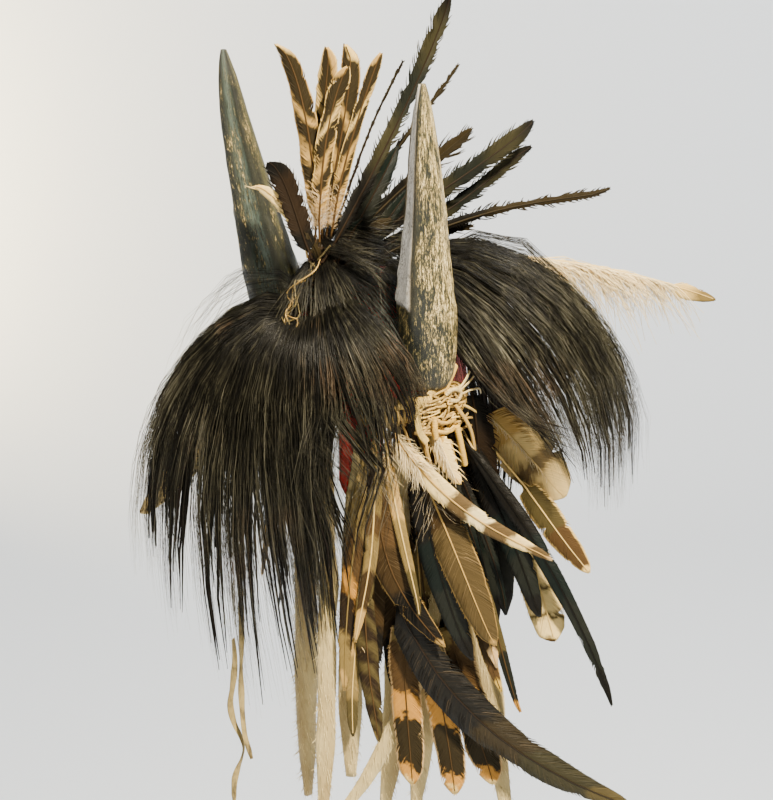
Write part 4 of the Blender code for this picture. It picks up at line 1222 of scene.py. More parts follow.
# feathers of the inner rows of both fans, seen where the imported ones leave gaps:
# root and tip as across, height and layer, then bend, width, stem and bluntness
innerFeathers = {
    "khaki": ((-92, -9, 36), (-104, -323, 30), 0, 13, 0.55, 9.0, "tanThin"),
    "striped": ((-80, -9, 42), (-99, -219, 47), 5, 16, 0.12, 2.6, "striped"),
    "pale_tip": ((-44, -9, 28.5), (33, -254, 25), 0, 20, 0.45, 3.0, "pinkTip"),
    "gold_tip": ((-38, -9, 24), (37, -281, 21), 0, 17, 0.50, 3.0, "goldTip"),
    "low_dark": ((-70, -12, 16), (-62, -296, 10), 4, 38, 0.12, 3.0, "brownUnder"),
    "low_black": ((-84, -12, 14), (-86, -288, 8), 4, 34, 0.12, 3.0, "shortBrown"),
    "low_umber": ((-54, -12, 10), (-36, -280, 6), 4, 38, 0.12, 3.0, "striped"),
    "middle_dark": ((-40, -12, 6), (-12, -266, 2), 3, 36, 0.12, 3.0, "brownUnder"),
    "middle_umber": ((-28, -12, 2), (8, -240, -2), 3, 36, 0.12, 3.0, "brownUnder"),
    "upper_dark": ((-18, -10, -2), (34, -222, -6), 4, 34, 0.14, 3.0, "glossy"),
    "upper_black": ((-10, -10, -8), (62, -190, -12), 4, 32, 0.16, 3.0, "glossy"),
    "outer_black": ((2, -14, -2), (44, -214, -8), 4, 34, 0.14, 3.4, "glossy"),
    "edge_teal": ((-30, -9, 16), (18, -160, 20), 3, 15, 0.12, 2.6, "ravenTeal"),
    "edge_cream": ((-84, -9, 30), (-90, -190, 34), 3, 20, 0.14, 2.6, "tanThin"),
    "edge_umber": ((-96, -12, 24), (-112, -236, 26), 2, 22, 0.14, 2.6, "striped"),
    "edge_dark": ((-82, -12, 20), (-88, -282, 20), 3, 28, 0.12, 2.8, "brownUnder"),
    "tie_left": ((-50, 14, 14), (-40, -150, 10), 2, 42, 0.03, 3.0, "brownUnder"),
    "tie_middle": ((-22, 12, 6), (-6, -150, 0), 2, 42, 0.03, 3.0, "shortBrown"),
    "tie_right": ((8, 12, -4), (24, -140, -8), 2, 42, 0.03, 3.0, "shortBrown"),
    "crown_low": ((12, 4, 2), (150, 40, -4), 5, 26, 0.06, 2.8, "ravenBrown"),
    "crown_teal": ((8, 8, 8), (84, 84, 4), -4, 24, 0.06, 3.0, "ravenTeal"),
    "crown_dark": ((10, 6, -4), (118, 92, -10), 3, 26, 0.06, 3.0, "ravenBrown"),
    "crown_front": ((-4, 2, 12), (34, 62, 16), 5, 26, 0.05, 2.6, "ravenTeal"),
    "crown_left": ((-8, 2, 10), (-20, 52, 14), -4, 22, 0.05, 2.6, "ravenBrown"),
    "crown_mid": ((0, 2, 8), (62, 58, 10), 6, 28, 0.05, 2.8, "ravenBrown"),
    "crown_far": ((10, 4, 14), (96, 48, 8), -5, 20, 0.06, 2.8, "raven"),
}


def innerSpine(middle, turn, root, tip, bend, width, stem, blunt):
    # the same table as a packed feather gives, worked out from its row
    outward = heading(turn)
    across = np.cross(up, outward)
    ends = [np.array(middle, dtype=float) + a * across + z * up + layer * outward
            for a, z, layer in (root, tip)]
    run = unit(ends[1] - ends[0])
    flat = -run.dot(up) * across + run.dot(across) * up
    side = unit(flat - run * flat.dot(run))
    facing = np.cross(side, run)
    facing = facing if facing.dot(outward) > 0 else -facing
    rows = []
    for place in (0.0, *(stem + (1 - stem) * s for s in np.linspace(0, 1, 11))):
        far = (place - stem) / (1 - stem)
        half = width / 2 * min(1, 0.3 + far / 0.22) * math.sqrt(max(0, 1 - max(0, far) ** blunt))
        centre = ends[0] + (ends[1] - ends[0]) * place + side * bend * 4 * place * (1 - place)
        half = 1.2 if place == 0 else max(1.2, half)
        rows.append(np.concatenate((centre * mm, facing, side, (half * mm, half * mm))))
    return np.array(rows)


# single feathers that are bent or worn otherwise than their look
featherShapes = {
    "owl_feather_1": {"curl": -0.010}, "owl_feather_4": {"curl": -0.011},
    "owl_feather_5": {"curl": 0.004}, "owl_feather_3": {"curl": -0.006},
    "raven_feather_long": {"wavy": 0.22, "sway": 0.003}, "raven_feather_thin": {"wavy": 0.5},
    "raven_feather_upper": {"wide": 1.2}, "raven_feather_olive": {"wide": 1.2, "curl": 0.006},
    "raven_feather_twist": {"wide": 1.35, "sway": 0.003, "curl": -0.006},
    "raven_feather_frayed": {"wide": 1.25}, "brown_short_feather": {"wide": 1.2, "curl": -0.004},
    "side_feather_long": {"sway": 0.002, "wavy": 0.15}, "side_feather_fan": {"wide": 1.15, "plume": 0.016},
    "pale_curled_feather": {"curl": -0.007, "plume": 0.012, "tufts": 110, "fill": 0.9, "full": 0.4},
}


def featherMaterial(name, look):
    material, tree, shader = newMaterial(name, roughness=look.get("gloss", 0.66),
                                         specular=look.get("shine", 0.1))
    far = attribute(tree, "along")
    across = calc(tree, "ABSOLUTE", attribute(tree, "across"))
    tint = attribute(tree, "tint")
    patch = noise(tree, look.get("patches", 95.0), 3.0)
    blur = look.get("blur", 0.03)
    wander = varied(tree, varied(tree, far, patch, blur * 2.2), tint, blur * 0.5)
    wander = timesPlus(tree, across, -0.03, wander)
    wander = timesPlus(tree, attribute(tree, "across"), look.get("skew", 0.0), wander)
    soft = look.get("soft", 0.014)
    stops = []
    for i, (place, colour) in enumerate(look["bands"]):
        if i:
            stops.append((place - soft, colours[look["bands"][i - 1][1]]))
        stops.append((place + soft if i else 0.0, colours[colour]))
    colour = colourRamp(tree, wander, *stops)
    if "edge" in look:
        rim = between(tree, timesPlus(tree, tint, 0.08, across), look.get("edgeFrom", 0.8),
                      look.get("edgeFrom", 0.8) + 0.14)
        colour = mixColour(tree, rim, colour, colours[look["edge"]])
    colour = mixColour(tree, between(tree, attribute(tree, "shaft"), 0.3, 0.7), colour,
                       colours[look["shaft"]])
    lay = made(tree, "ShaderNodeCombineXYZ", {}, {"X": attribute(tree, "barb")})
    streak = noise(tree, 0.55, 3.0, lay)
    line = noise(tree, 2.4, 1.0, lay)
    broad = noise(tree, 0.42, 4.0, lay, roughness=0.75)
    shade = calc(tree, "ADD", timesPlus(tree, tint, 0.24, 0.25),
                 timesPlus(tree, patch, 0.3, times(tree, streak, 0.8)))
    grey = made(tree, "ShaderNodeCombineColor", {}, {
        "Red": shade, "Green": times(tree, shade, 0.955),
        "Blue": times(tree, shade, 0.79)})
    colour = mixColour(tree, 1.0, colour, grey, "MULTIPLY")
    worn = times(tree, between(tree, broad, 0.52, 0.66), look.get("streak", 0.08))
    colour = mixColour(tree, times(tree, worn, 0.40), colour, (0.42, 0.29, 0.15))
    paint(tree, shader, colour)
    addBump(tree, shader, calc(tree, "ADD", line, streak), 0.55, 0.0009)
    return material


def dressFeather(name, spine, lookName, seed, finishes):
    look = {**looks[lookName], **featherShapes.get(name.replace("_barbed", ""), {})}
    spine = swayed(spine, look, seed)
    finish = finishes[lookName]
    barbs = layBarbs(spine, look, 100 + seed)
    parts = [threadPiece(name + "_barbs", *barbs, 3, feather["flatness"], finish),
             threadPiece(name + "_shaft", *layShaft(spine), 6, feather["shaftFlatness"], finish),
             layVane(spine, look, 100 + seed, name + "_vane", finish)]
    if "fluff" in look:
        fluff = look["fluff"] + " fluff"
        if fluff not in finishes:
            finishes[fluff] = fluffMaterial(fluff, colours[look["fluff"]])
        down = layFluff(spine, look, 300 + seed)
        parts.append(threadPiece(name + "_fluff", *down, 3, 1.0, finishes[fluff]))
    return joined(name, parts)


def makeFeathers():
    finishes = {name: featherMaterial(name, look) for name, look in looks.items()}
    slots = {entry["node"]: entry["material_slot"] for entry in frame["record"]["subparts"]}
    for seed, (name, lookName) in enumerate(featherLooks.items()):
        tie = next(t for t, starts in feathersFrom.items() if name.startswith(starts))
        piece = dressFeather(name + "_barbed", readSpine(name, tie), lookName, seed, finishes)
        fit(piece, slots[name], name)
    for seed, (name, row) in enumerate(innerFeathers.items()):
        fan = fans["crown" if name.startswith("crown") else "left"]
        piece = dressFeather("inner_feather_" + name, innerSpine(*fan, *row[:6]), row[6], 60 + seed,
                             finishes)
        fit(piece, "brown_feather")
    print("feathers laid:", len(featherLooks) + len(innerFeathers))


makeFeathers()


# horns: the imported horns' sections, read by rays, made smooth and weathered
horn = {"step": 0.0020, "around": 68, "measuredFrom": 0.112, "slopeOver": 0.04, "smooth": 5,
        "ridge": 0.0004, "chip": 0.0005,
        "stripEdge": 0.75, "stripNarrows": 0.12, "stripFoot": 0.292, "stripProud": 0.0008,
        "stripThicker": 0.0016, "crease": 0.0010, "tipDrop": 0.0012}
hornFaces = {"horn_left": (-0.5, -0.866, 0.0), "horn_right": (0.5, -0.866, 0.0)}


def castRing(solid, centre, turns):
    reaches = []
    for turn in turns:
        hit = solid.ray_cast(Vector(centre), Vector((*turn, 0.0)))[3]
        reaches.append(0.0 if hit is None else hit)
    return np.array(reaches)


def readHorn(name):
    # centres, radii and headings of level sections from the tip down, the cut side mended
    bm = mergedCopy(name)
    solid = BVHTree.FromBMesh(bm)
    top = max(bm.verts, key=lambda v: v.co.z).co.copy()
    foot = min(v.co.z for v in bm.verts)
    tip = np.mean([v.co for v in bm.verts if v.co.z > top.z - 0.0015], axis=0)
    bm.free()
    face = math.atan2(hornFaces[name][1], hornFaces[name][0])
    angles = face + np.linspace(0, 2 * math.pi, horn["around"], endpoint=False)
    turns = np.stack((np.cos(angles), np.sin(angles)), axis=-1)
    levels = np.arange(tip[2] - horn["tipDrop"], foot + 0.0005, -horn["step"])
    centre = np.array(tip)
    centres, radii = [], []
    for z in levels:
        centre = np.array((centre[0], centre[1], z))
        if z > horn["measuredFrom"]:
            for _ in range(2):
                reach = castRing(solid, centre, turns)
                centre[:2] += (turns * reach[:, None]).mean(axis=0)
        else:
            back = int(horn["slopeOver"] / horn["step"])
            if len(slopes := centres[-back:]) and z > horn["measuredFrom"] - horn["step"]:
                slope = (slopes[-1] - slopes[0]) / (len(slopes) - 1)
            centre = centres[-1] + slope
            centre[2] = z
        reach = castRing(solid, centre, turns)
        radii.append(np.maximum(reach, np.roll(reach[::-1], 1)))
        centres.append(centre.copy())
    return np.array(centres), np.array(radii), turns, levels


def softened(grid, passes):
    for _ in range(passes):
        grid = (np.roll(grid, 1, 1) + 2 * grid + np.roll(grid, -1, 1)) / 4
        grid[1:-1] = (grid[:-2] + 2 * grid[1:-1] + grid[2:]) / 4
    return grid


def hornMesh(name, seed):
    centres, radii, turns, levels = readHorn(name)
    radii = softened(radii, horn["smooth"])
    share = (levels[0] - levels) / (levels[0] - levels[-1])
    rough = smoothStep(share * 1.6)[:, None]
    radii = radii + horn["ridge"] * rough * fineNoise(radii.shape, seed, 9, 30)
    radii = radii + horn["chip"] * rough * fineNoise(radii.shape, seed + 1, 26, 18)
    rise = (1 - share)[:, None]
    facing = np.cos(np.linspace(0, 2 * math.pi, horn["around"], endpoint=False))[None]
    inside = facing - (horn["stripEdge"] + horn["stripNarrows"] * rise)
    raised = smoothStep(inside / 0.10) * smoothStep((rise - horn["stripFoot"]) / 0.012)
    crease = np.exp(-(inside / 0.05) ** 2) * smoothStep((rise - horn["stripFoot"]) / 0.03)
    proud = horn["stripProud"] + horn["stripThicker"] * smoothStep((0.62 - rise) / 0.3)
    proud = proud * (1 + 0.8 * np.clip(inside / 0.3, 0, 1))
    radii = radii + (proud * raised - horn["crease"] * crease) * (name == "horn_left")
    rings = np.zeros((*radii.shape, 3))
    rings[..., :2] = centres[:, None, :2] + turns[None] * radii[..., None]
    rings[..., 2] = centres[:, None, 2]
    around = np.linspace(0, 2 * math.pi, horn["around"], endpoint=False)
    front = np.tile(np.cos(around), (len(levels), 1))
    flank = np.tile(np.sin(around), (len(levels), 1))
    rise = np.tile(1 - share[:, None], (1, horn["around"]))
    return tubeMesh(name + "_horn", rings, {"front": front, "flank": flank, "rise": rise})


hornLooks = {
    "horn_left": {"body": 0.40, "strip": (0.60, 0.59, 0.57), "shade": -0.22},
    "horn_right": {"body": 0.0, "strip": None, "shade": 0.0},
}


def hornMaterial(name):
    # cream and olive streaks under dark lengthwise specks, darker toward the base partly as painted shade;
    # the near horn's old smooth strip with painted shade along its edges and painted light on its other
    # side; and a groove on the far horn painted as shade
    look = hornLooks[name]
    material, tree, shader = newMaterial(name, roughness=0.4, specular=0.55)
    front, flank, rise = (attribute(tree, label) for label in ("front", "flank", "rise"))
    wrap = made(tree, "ShaderNodeCombineXYZ", {}, {
        "X": times(tree, front, 1.3), "Y": times(tree, flank, 1.3),
        "Z": times(tree, rise, 2.6)})
    broad = noise(tree, 1.5, 3.0, wrap, (1.0, 1.0, 2.4))
    streak = noise(tree, 9.0, 4.0, wrap, (1.0, 1.0, 0.9), 0.68)
    fleck = noise(tree, 22.0, 4.0, wrap, (1.0, 1.0, 1.3), 0.72)
    share = look["body"]
    for pattern, amount in ((streak, 2.2), (broad, 1.6), (fleck, 3.0)):
        share = varied(tree, share, pattern, amount)
    # darker toward the base: partly the horn's olive foot, partly painted shade of the hair over it
    share = timesPlus(tree, between(tree, rise, 0.30, 0.02), -0.26, share)
    # painted light and shade: the near horn is lighter toward its right side, where the light falls, and
    # darker toward the strip
    share = timesPlus(tree, front, look["shade"], share)
    share = timesPlus(tree, between(tree, rise, 0.93, 1.0), -0.14, share)
    colour = colourRamp(tree, share, (0.08, (0.006, 0.008, 0.005)), (0.28, (0.036, 0.040, 0.018)),
                        (0.40, (0.12, 0.105, 0.046)), (0.52, (0.28, 0.205, 0.075)),
                        (0.67, (0.60, 0.44, 0.165)), (0.86, (0.92, 0.76, 0.40)))
    if look["strip"]:
        inside = calc(tree, "SUBTRACT", front, timesPlus(tree, rise, horn["stripNarrows"],
                                                    horn["stripEdge"]))
        onStrip = times(tree, between(tree, inside, -0.01, 0.03), between(tree, rise, 0.285, 0.295))
        pale = mixColour(tree, between(tree, fleck, 0.40, 0.54), tuple(c * 0.35 for c in look["strip"]),
                         look["strip"])
        # brown at the strip's edges, painted shade of its rounding, and in patches where the streaks are
        # low, which is the horn's own colour
        paleClearOfEdgeShade = times(tree, between(tree, inside, 0.0, 0.10), between(tree, streak, 0.30, 0.44))
        pale = mixColour(tree, paleClearOfEdgeShade, (0.30, 0.25, 0.18), pale)
        colour = mixColour(tree, onStrip, colour, pale)
        # painted shade: a dark band along the body just beside the strip's edge
        shadeBesideStrip = times(tree, window(tree, inside, -0.30, -0.04, 0.0, 0.03), between(tree, rise, 0.24, 0.30))
        colour = mixColour(tree, times(tree, shadeBesideStrip, 0.85), colour, (0.030, 0.028, 0.015))
    else:
        teal = times(tree, window(tree, flank, -0.55, -0.15, 0.25, 0.45), between(tree, front, 0.0, 0.4))
        colour = mixColour(tree, times(tree, teal, between(tree, streak, 0.62, 0.42)), colour,
                           (0.075, 0.105, 0.085))
        # painted shade: a dark groove down the far horn, which its shape does not have
        grooveShade = times(tree, window(tree, flank, 0.26, 0.44, 0.55, 0.72), between(tree, front, 0.0, 0.3),
                       between(tree, rise, 0.90, 0.75))
        colour = mixColour(tree, times(tree, grooveShade, 0.8), colour, (0.020, 0.022, 0.011))
        # an olive band on the far horn's right side: partly its own colour, partly painted shade
        olive = times(tree, between(tree, flank, 0.70, 0.88), between(tree, streak, 0.64, 0.45))
        colour = mixColour(tree, times(tree, olive, 0.75), colour, (0.115, 0.105, 0.040))
    pores = between(tree, noise(tree, 24.0, 3.0, wrap, (1.0, 1.0, 2.2), 0.75), 0.50, 0.57)
    crowd = between(tree, broad, 0.36, 0.60)
    colour = mixColour(tree, times(tree, pores, crowd, 0.9), colour,
                       (0.016, 0.014, 0.008))
    paint(tree, shader, colour)
    rough = addNode(tree, "ShaderNodeMapRange", {}, {"Value": streak, "From Min": 0.3, "From Max": 0.7,
                                                    "To Min": 0.55, "To Max": 0.3})
    tree.links.new(output(rough), shader.inputs["Roughness"])
    height = calc(tree, "SUBTRACT", calc(tree, "ADD", streak, fleck), pores)
    addBump(tree, shader, height, 0.45, 0.0008)
    return material


def makeHorns():
    for seed, name in enumerate(hornFaces):
        piece = addPiece(name + "_weathered", hornMesh(name, 40 + seed), hornMaterial(name))
        fit(piece, "horn", name)
        print(name, "shaped,", len(piece.data.polygons), "faces")


makeHorns()


# cap and flap: red wool cloth
cloth = {"rimStitches": 96, "stitch": 0.0007, "flapFrom": 20.0, "flapTo": 46.0, "drop": 0.0855,
         "flapThickness": 0.0018, "columns": 26, "rows": 34, "wall": 2.5}


def clothMaterial():
    material, tree, shader = newMaterial("red wool", roughness=0.92, sheen=0.5)
    cloudy = noise(tree, 30.0, 4.0)
    nap = noise(tree, 900.0, 4.0, roughness=0.7)
    weave = noise(tree, 260.0, 2.0, stretch=(1.0, 1.0, 3.0))
    share = varied(tree, cloudy, nap, 0.8)
    colour = colourRamp(tree, share, (0.2, (0.42, 0.008, 0.010)), (0.5, (0.70, 0.012, 0.012)),
                        (0.8, (0.82, 0.040, 0.024)))
    paint(tree, shader, colour)
    addBump(tree, shader, calc(tree, "ADD", nap, weave), 0.7, 0.0007)
    return material


def rimPoint(turn, out, level):
    # a point beside the cap's rim, in millimetres: heading, distance out from it and height
    way = heading(turn)
    reach = np.hypot(way[..., 0] / (hair["capHalfWidth"] + out), way[..., 1] / (hair["capHalfLength"] + out))
    return way / np.expand_dims(reach, -1) + up * np.expand_dims(level, -1)


def makeCap():
    finish = clothMaterial()
    bm = mergedCopy("skull_cap")
    mesh = bpy.data.meshes.new("skull_cap_cloth")
    bm.to_mesh(mesh)
    bm.free()
    mesh.shade_smooth()
    mesh.set_sharp_from_angle(angle=math.radians(45))
    shell = addPiece("skull_cap_cloth", mesh, finish)
    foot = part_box("skull_cap")[0][2] / mm
    turns = np.linspace(0, 360, cloth["rimStitches"], endpoint=False)[:, None] * np.ones((1, 6))
    bow = np.linspace(0, 1, 6)[None] * np.ones_like(turns)
    outs = 0.4 - (cloth["wall"] + 0.8) * bow
    levels = foot + 3.6 - 4.4 * np.sin(np.pi * bow)
    lines = rimPoint(turns + 1.2 * bow, outs, levels) * mm
    ways = heading(turns)
    fields = {"girth": np.full(turns.shape, cloth["stitch"]), "facing": ways}
    thread = hideMaterial("rim thread", (0.42, 0.32, 0.16), (0.16, 0.10, 0.05))
    stitches = threadPiece("rim_stitches", lines, fields, 5, 0.8, thread)
    fit(joined("skull_cap_cloth", [shell, stitches]), "red_cloth", "skull_cap")
    makeFlap(finish)
    print("cap and flap dressed")


def makeFlap(finish):
    # the flap hangs from the rim in two soft folds, its lower corners rounded
    u = np.linspace(0, 1, cloth["columns"])[None, :]
    v = np.linspace(0, 1, cloth["rows"])[:, None]
    random = np.random.default_rng(8)
    hem = 1 + 0.008 * np.interp(u, np.linspace(0, 1, 14), random.normal(0, 1, 14))
    corner = (1 - 0.25 * v * np.abs(2 * u - 1) ** 3) * (1 + (hem - 1) * v)
    depth = 0.3 + (cloth["drop"] / mm - 0.3) * v * corner
    turn = cloth["flapFrom"] + (cloth["flapTo"] - cloth["flapFrom"]) * u + 0 * v
    fold = 2.5 * v * np.sin(np.pi * u) + 1.1 * v * np.sin(3 * np.pi * u + 2.4 * v) - 0.4 * v
    places = rimPoint(turn, -cloth["wall"] / 2 - fold, -depth)
    mesh = bpy.data.meshes.new("red_cloth_flap_cloth")
    rows, columns = places.shape[:2]
    faces = [(i * columns + j, i * columns + j + 1, (i + 1) * columns + j + 1, (i + 1) * columns + j)
             for i in range(rows - 1) for j in range(columns - 1)]
    mesh.from_pydata((places.reshape(-1, 3) * mm).tolist(), [], faces)
    mesh.shade_smooth()
    flap = addPiece("red_cloth_flap_cloth", mesh, finish)
    wall = flap.modifiers.new("wall", "SOLIDIFY")
    wall.thickness = cloth["flapThickness"]
    wall.offset = 0.0
    fit(flap, "red_cloth", "red_cloth_flap")


makeCap()


# ties: wound sinew over a core that is dark as painted shade in the gaps between turns, with the knots and
# quills that hold the feathers
tie = {"coreFill": 0.93, "sinewGirth": 0.0011, "turnsPerMetre": 430, "tangle": 18, "loops": 6,
       "browThreads": 7, "browScatter": (5.0, 1.4, 3.5), "browGirth": 0.00075, "tangleGirth": 0.0012,
       "knotGirth": 0.0009, "lacingGirth": 0.0010, "stepsPerTurn": 14}
sinewLooks = {"sinew": ((0.46, 0.295, 0.078), (0.095, 0.052, 0.013)),
              "rawhide": ((0.66, 0.46, 0.135), (0.24, 0.14, 0.036)),
              "quill": ((0.58, 0.36, 0.070), (0.20, 0.105, 0.020)),
              "white knot": ((0.58, 0.43, 0.18), (0.24, 0.15, 0.05)),
              "red wrap": ((0.055, 0.023, 0.010), (0.012, 0.007, 0.004)),
              "olive lacing": ((0.17, 0.125, 0.038), (0.035, 0.026, 0.009)),
              # the core under the winding is dark as painted shade in the gaps between turns
              "core in painted shade": ((0.022, 0.014, 0.007), (0.006, 0.004, 0.003))}
# strips, quills and knots at the left horn: finish, half width, flatness, then the line's
# points as heading, distance out from the rim and height
tieDetails = (
    ("rawhide", 5.4, 0.6, ((61, 24, 16), (65, 25, 15.5), (69.5, 24, 15))),
    ("rawhide", 6.0, 0.6, ((51.5, 22, 17), (54, 24, 17), (58, 23, 16))),
    ("rawhide", 3.4, 0.3, ((52, 27, 24), (56, 28, 22), (60, 28, 16), (61, 28, 2), (62.5, 28, -12),
                           (66.5, 27, -23))),
    ("quill", 1.8, 0.9, ((72.5, 27, -5), (76, 30, -7), (80, 30, -7.5), (84.5, 27, -8))),
    ("quill", 1.8, 0.9, ((72, 27, -14), (76, 30, -16), (80, 30, -16.5), (85, 27, -16))),
    ("quill", 2.9, 1.0, ((70.5, 28, 0), (70.5, 29, -10), (71.5, 28, -21))),
    ("quill", 3.1, 1.0, ((84.5, 29, -14), (87, 30, -32), (91, 29, -55))),
    ("quill", 2.8, 1.0, ((79.5, 28, -26), (81.5, 29, -40), (84.5, 28, -55))),
    ("quill", 2.4, 1.0, ((76, 27, -20), (76.5, 28, -36), (78.5, 27, -50))),
    ("sinew", 2.0, 0.8, ((84, 28, 7), (90, 31, -10), (95, 31, -26), (99, 30, -50), (102, 28, -76))),
    ("sinew", 1.7, 0.9, ((66, 26, -18), (67, 27, -34), (70, 26, -52))),
    ("rawhide", 1.3, 0.9, ((90, 29, 4), (98, 31, -6), (105, 32, -20))),
    ("white knot", 1.9, 0.6, ((78, 27, 18), (82, 30, 23), (87, 30, 18), (85, 30, 11), (80, 29, 13))),
    ("white knot", 1.5, 0.5, ((85, 29, 20), (90, 30, 28), (96, 28, 37), (100, 25, 44))),
    ("white knot", 1.2, 0.5, ((86, 29, 19), (93, 30, 25), (100, 29, 31), (106, 26, 37))),
    ("white knot", 1.0, 0.5, ((87, 28, 15), (94, 31, 17), (101, 31, 15), (105, 29, 8))),
)
# a few threads that hang from the crown tie over the brow: heading, reach and height
browThreads = np.array(((-16, 54, 136), (-18, 65, 128), (-15, 76, 118), (-18, 85, 107), (-13, 91, 97),
                        (-15, 96, 88), (-10, 101, 78), (-12, 104, 68)), dtype=float)
# the hide tab that stands up behind them, split in three
tabDetails = (
    ("rawhide", 4.4, 0.24, ((69, 24, 20), (74, 23, 31), (79, 20, 45), (83, 17, 57))),
    ("rawhide", 4.0, 0.24, ((73, 24, 19), (79, 23, 31), (85, 20, 44), (89, 18, 54))),
    ("quill", 3.0, 0.24, ((78, 24, 19), (84, 22, 30), (90, 20, 41))),
)


def cordMaterial(name, pale, deep):
    material, tree, shader = newMaterial(name, roughness=0.55, specular=0.5)
    tint = attribute(tree, "tint")
    fibre = noise(tree, 240.0, 4.0)
    patch = noise(tree, 40.0, 3.0)
    share = calc(tree, "ADD", times(tree, fibre, 0.5), times(tree, patch, 0.4))
    share = timesPlus(tree, tint, 0.25, share)
    colour = colourRamp(tree, share, (0.3, deep), (0.62, pale), (0.9, tuple(min(1, c * 1.3) for c in pale)))
    paint(tree, shader, colour)
    ply = calc(tree, "SINE", times(tree, attribute(tree, "run"), 2.6))
    addBump(tree, shader, timesPlus(tree, ply, 0.35, fibre), 0.6, 0.0005)
    return material


def cordPiece(name, lines, facings, half, flatness, finish, random, sides=6):
    run = np.concatenate((np.zeros((len(lines), 1)),
                          np.cumsum(np.linalg.norm(np.diff(lines, axis=1), axis=-1), axis=1)), axis=1)
    size = lines.shape[:2]
    fields = {"girth": half * np.ones(size), "facing": facings, "run": run / mm,
              "tint": random.random((len(lines), 1)) * np.ones(size)}
    return threadPiece(name, lines, fields, sides, flatness, finish)


def ringsAlong(name, key, size):
    # a loft's rings, taken in order of a value that is the same all round each ring
    bm = mergedCopy(name)
    places = np.array(sorted((v.co[:] for v in bm.verts), key=key))
    bm.free()
    return places.reshape(-1, size, 3)


def ringsCast(name, centre, count, around):
    # level sections of an upright solid, read by rays from its middle
    bm = mergedCopy(name)
    solid = BVHTree.FromBMesh(bm)
    bm.free()
    low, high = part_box(name)
    angles = np.linspace(0, 2 * math.pi, around, endpoint=False)
    turns = np.stack((np.cos(angles), np.sin(angles)), axis=-1)
    rings = []
    for z in np.linspace(low[2] + 0.001, high[2] - 0.001, count):
        reach = castRing(solid, (*centre, z), turns)
        ring = np.column_stack((centre + turns * np.maximum(reach, 0.004)[:, None], np.full(around, z)))
        rings.append(ring)
    return np.array(rings)


def wound(name, rings, finish, seed, rows=40, around=16, strays=3):
    # a helix of cord over the rings, then a few turns that cross it
    random = np.random.default_rng(seed)
    shape = smoothRings(rings, rows, around)
    middle = shape.mean(axis=1)
    length = np.linalg.norm(np.diff(middle, axis=0), axis=1).sum()
    pieces = []
    for layer in range(1 + strays):
        turns = length * tie["turnsPerMetre"] * (1 if layer == 0 else random.uniform(0.05, 0.14))
        steps = max(24, int(turns * tie["stepsPerTurn"]))
        t = np.linspace(0, 1, steps)
        first, last = (0.01, 0.99) if layer == 0 else sorted(random.uniform(0.02, 0.98, 2))
        sway = 0.012 * np.sin(t * turns * 2 * math.pi * random.uniform(0.4, 0.6))
        row = np.clip(first + (last - first) * t + sway, 0, 1) * (rows - 1.001)
        column = (t * turns % 1) * around
        i, j = row.astype(int), column.astype(int) % around
        fi, fj = (row - i)[:, None], (column - column.astype(int))[:, None]
        k = (j + 1) % around
        here = ((shape[i, j] * (1 - fj) + shape[i, k] * fj) * (1 - fi)
                + (shape[i + 1, j] * (1 - fj) + shape[i + 1, k] * fj) * fi)
        core = middle[i] * (1 - fi) + middle[i + 1] * fi
        out = unit(here - core)
        half = tie["sinewGirth"] * (1.0 if layer == 0 else 1.25)
        here = here + out * (half * (0.2 if layer == 0 else 1.6))
        pieces.append(cordPiece(name + str(layer), here[None], out[None], half, 0.8, finish, random))
    # a core in painted shade, seen in the gaps between the turns
    core = middle[:, None] + (shape - middle[:, None]) * tie["coreFill"]
    pieces.append(addPiece(name + "_core", tubeMesh(name + "_core", core), sinews["core in painted shade"]))
    return pieces


def tangled(random, count):
    # loops of cord that wander over the outside of the left tie
    lines, facings = [], []
    for _ in range(count):
        turn, level = random.uniform(66, 94), random.uniform(-16, 18)
        angle = np.cumsum(random.uniform(0.5, 1.3, tie["loops"])) * random.choice((-1, 1))
        wide, high = random.uniform(3, 8), random.uniform(3, 9)
        knots = np.stack((turn + wide * np.cos(angle) + random.normal(0, 1.5, tie["loops"]),
                          24 + random.uniform(-1, 5, tie["loops"]),
                          level + high * np.sin(angle) + random.normal(0, 1.5, tie["loops"])), axis=-1)
        smooth = along(knots, np.linspace(0, 1, 30))
        lines.append(rimPoint(smooth[:, 0], smooth[:, 1], smooth[:, 2]) * mm)
        facings.append(heading(smooth[:, 0]))
    return np.array(lines), np.array(facings)


sinews = {name: cordMaterial(name, *pair) for name, pair in sinewLooks.items()}


def rimStrips(name, rows, random):
    pieces = []
    for i, (finish, half, flatness, points) in enumerate(rows):
        smooth = along(np.array(points, dtype=float), np.linspace(0, 1, 20))
        line = rimPoint(smooth[:, 0], smooth[:, 1], smooth[:, 2]) * mm
        pieces.append(cordPiece("%s_%d" % (name, i), line[None], heading(smooth[:, 0])[None],
                                half * mm, flatness, sinews[finish], random, 8))
    return pieces


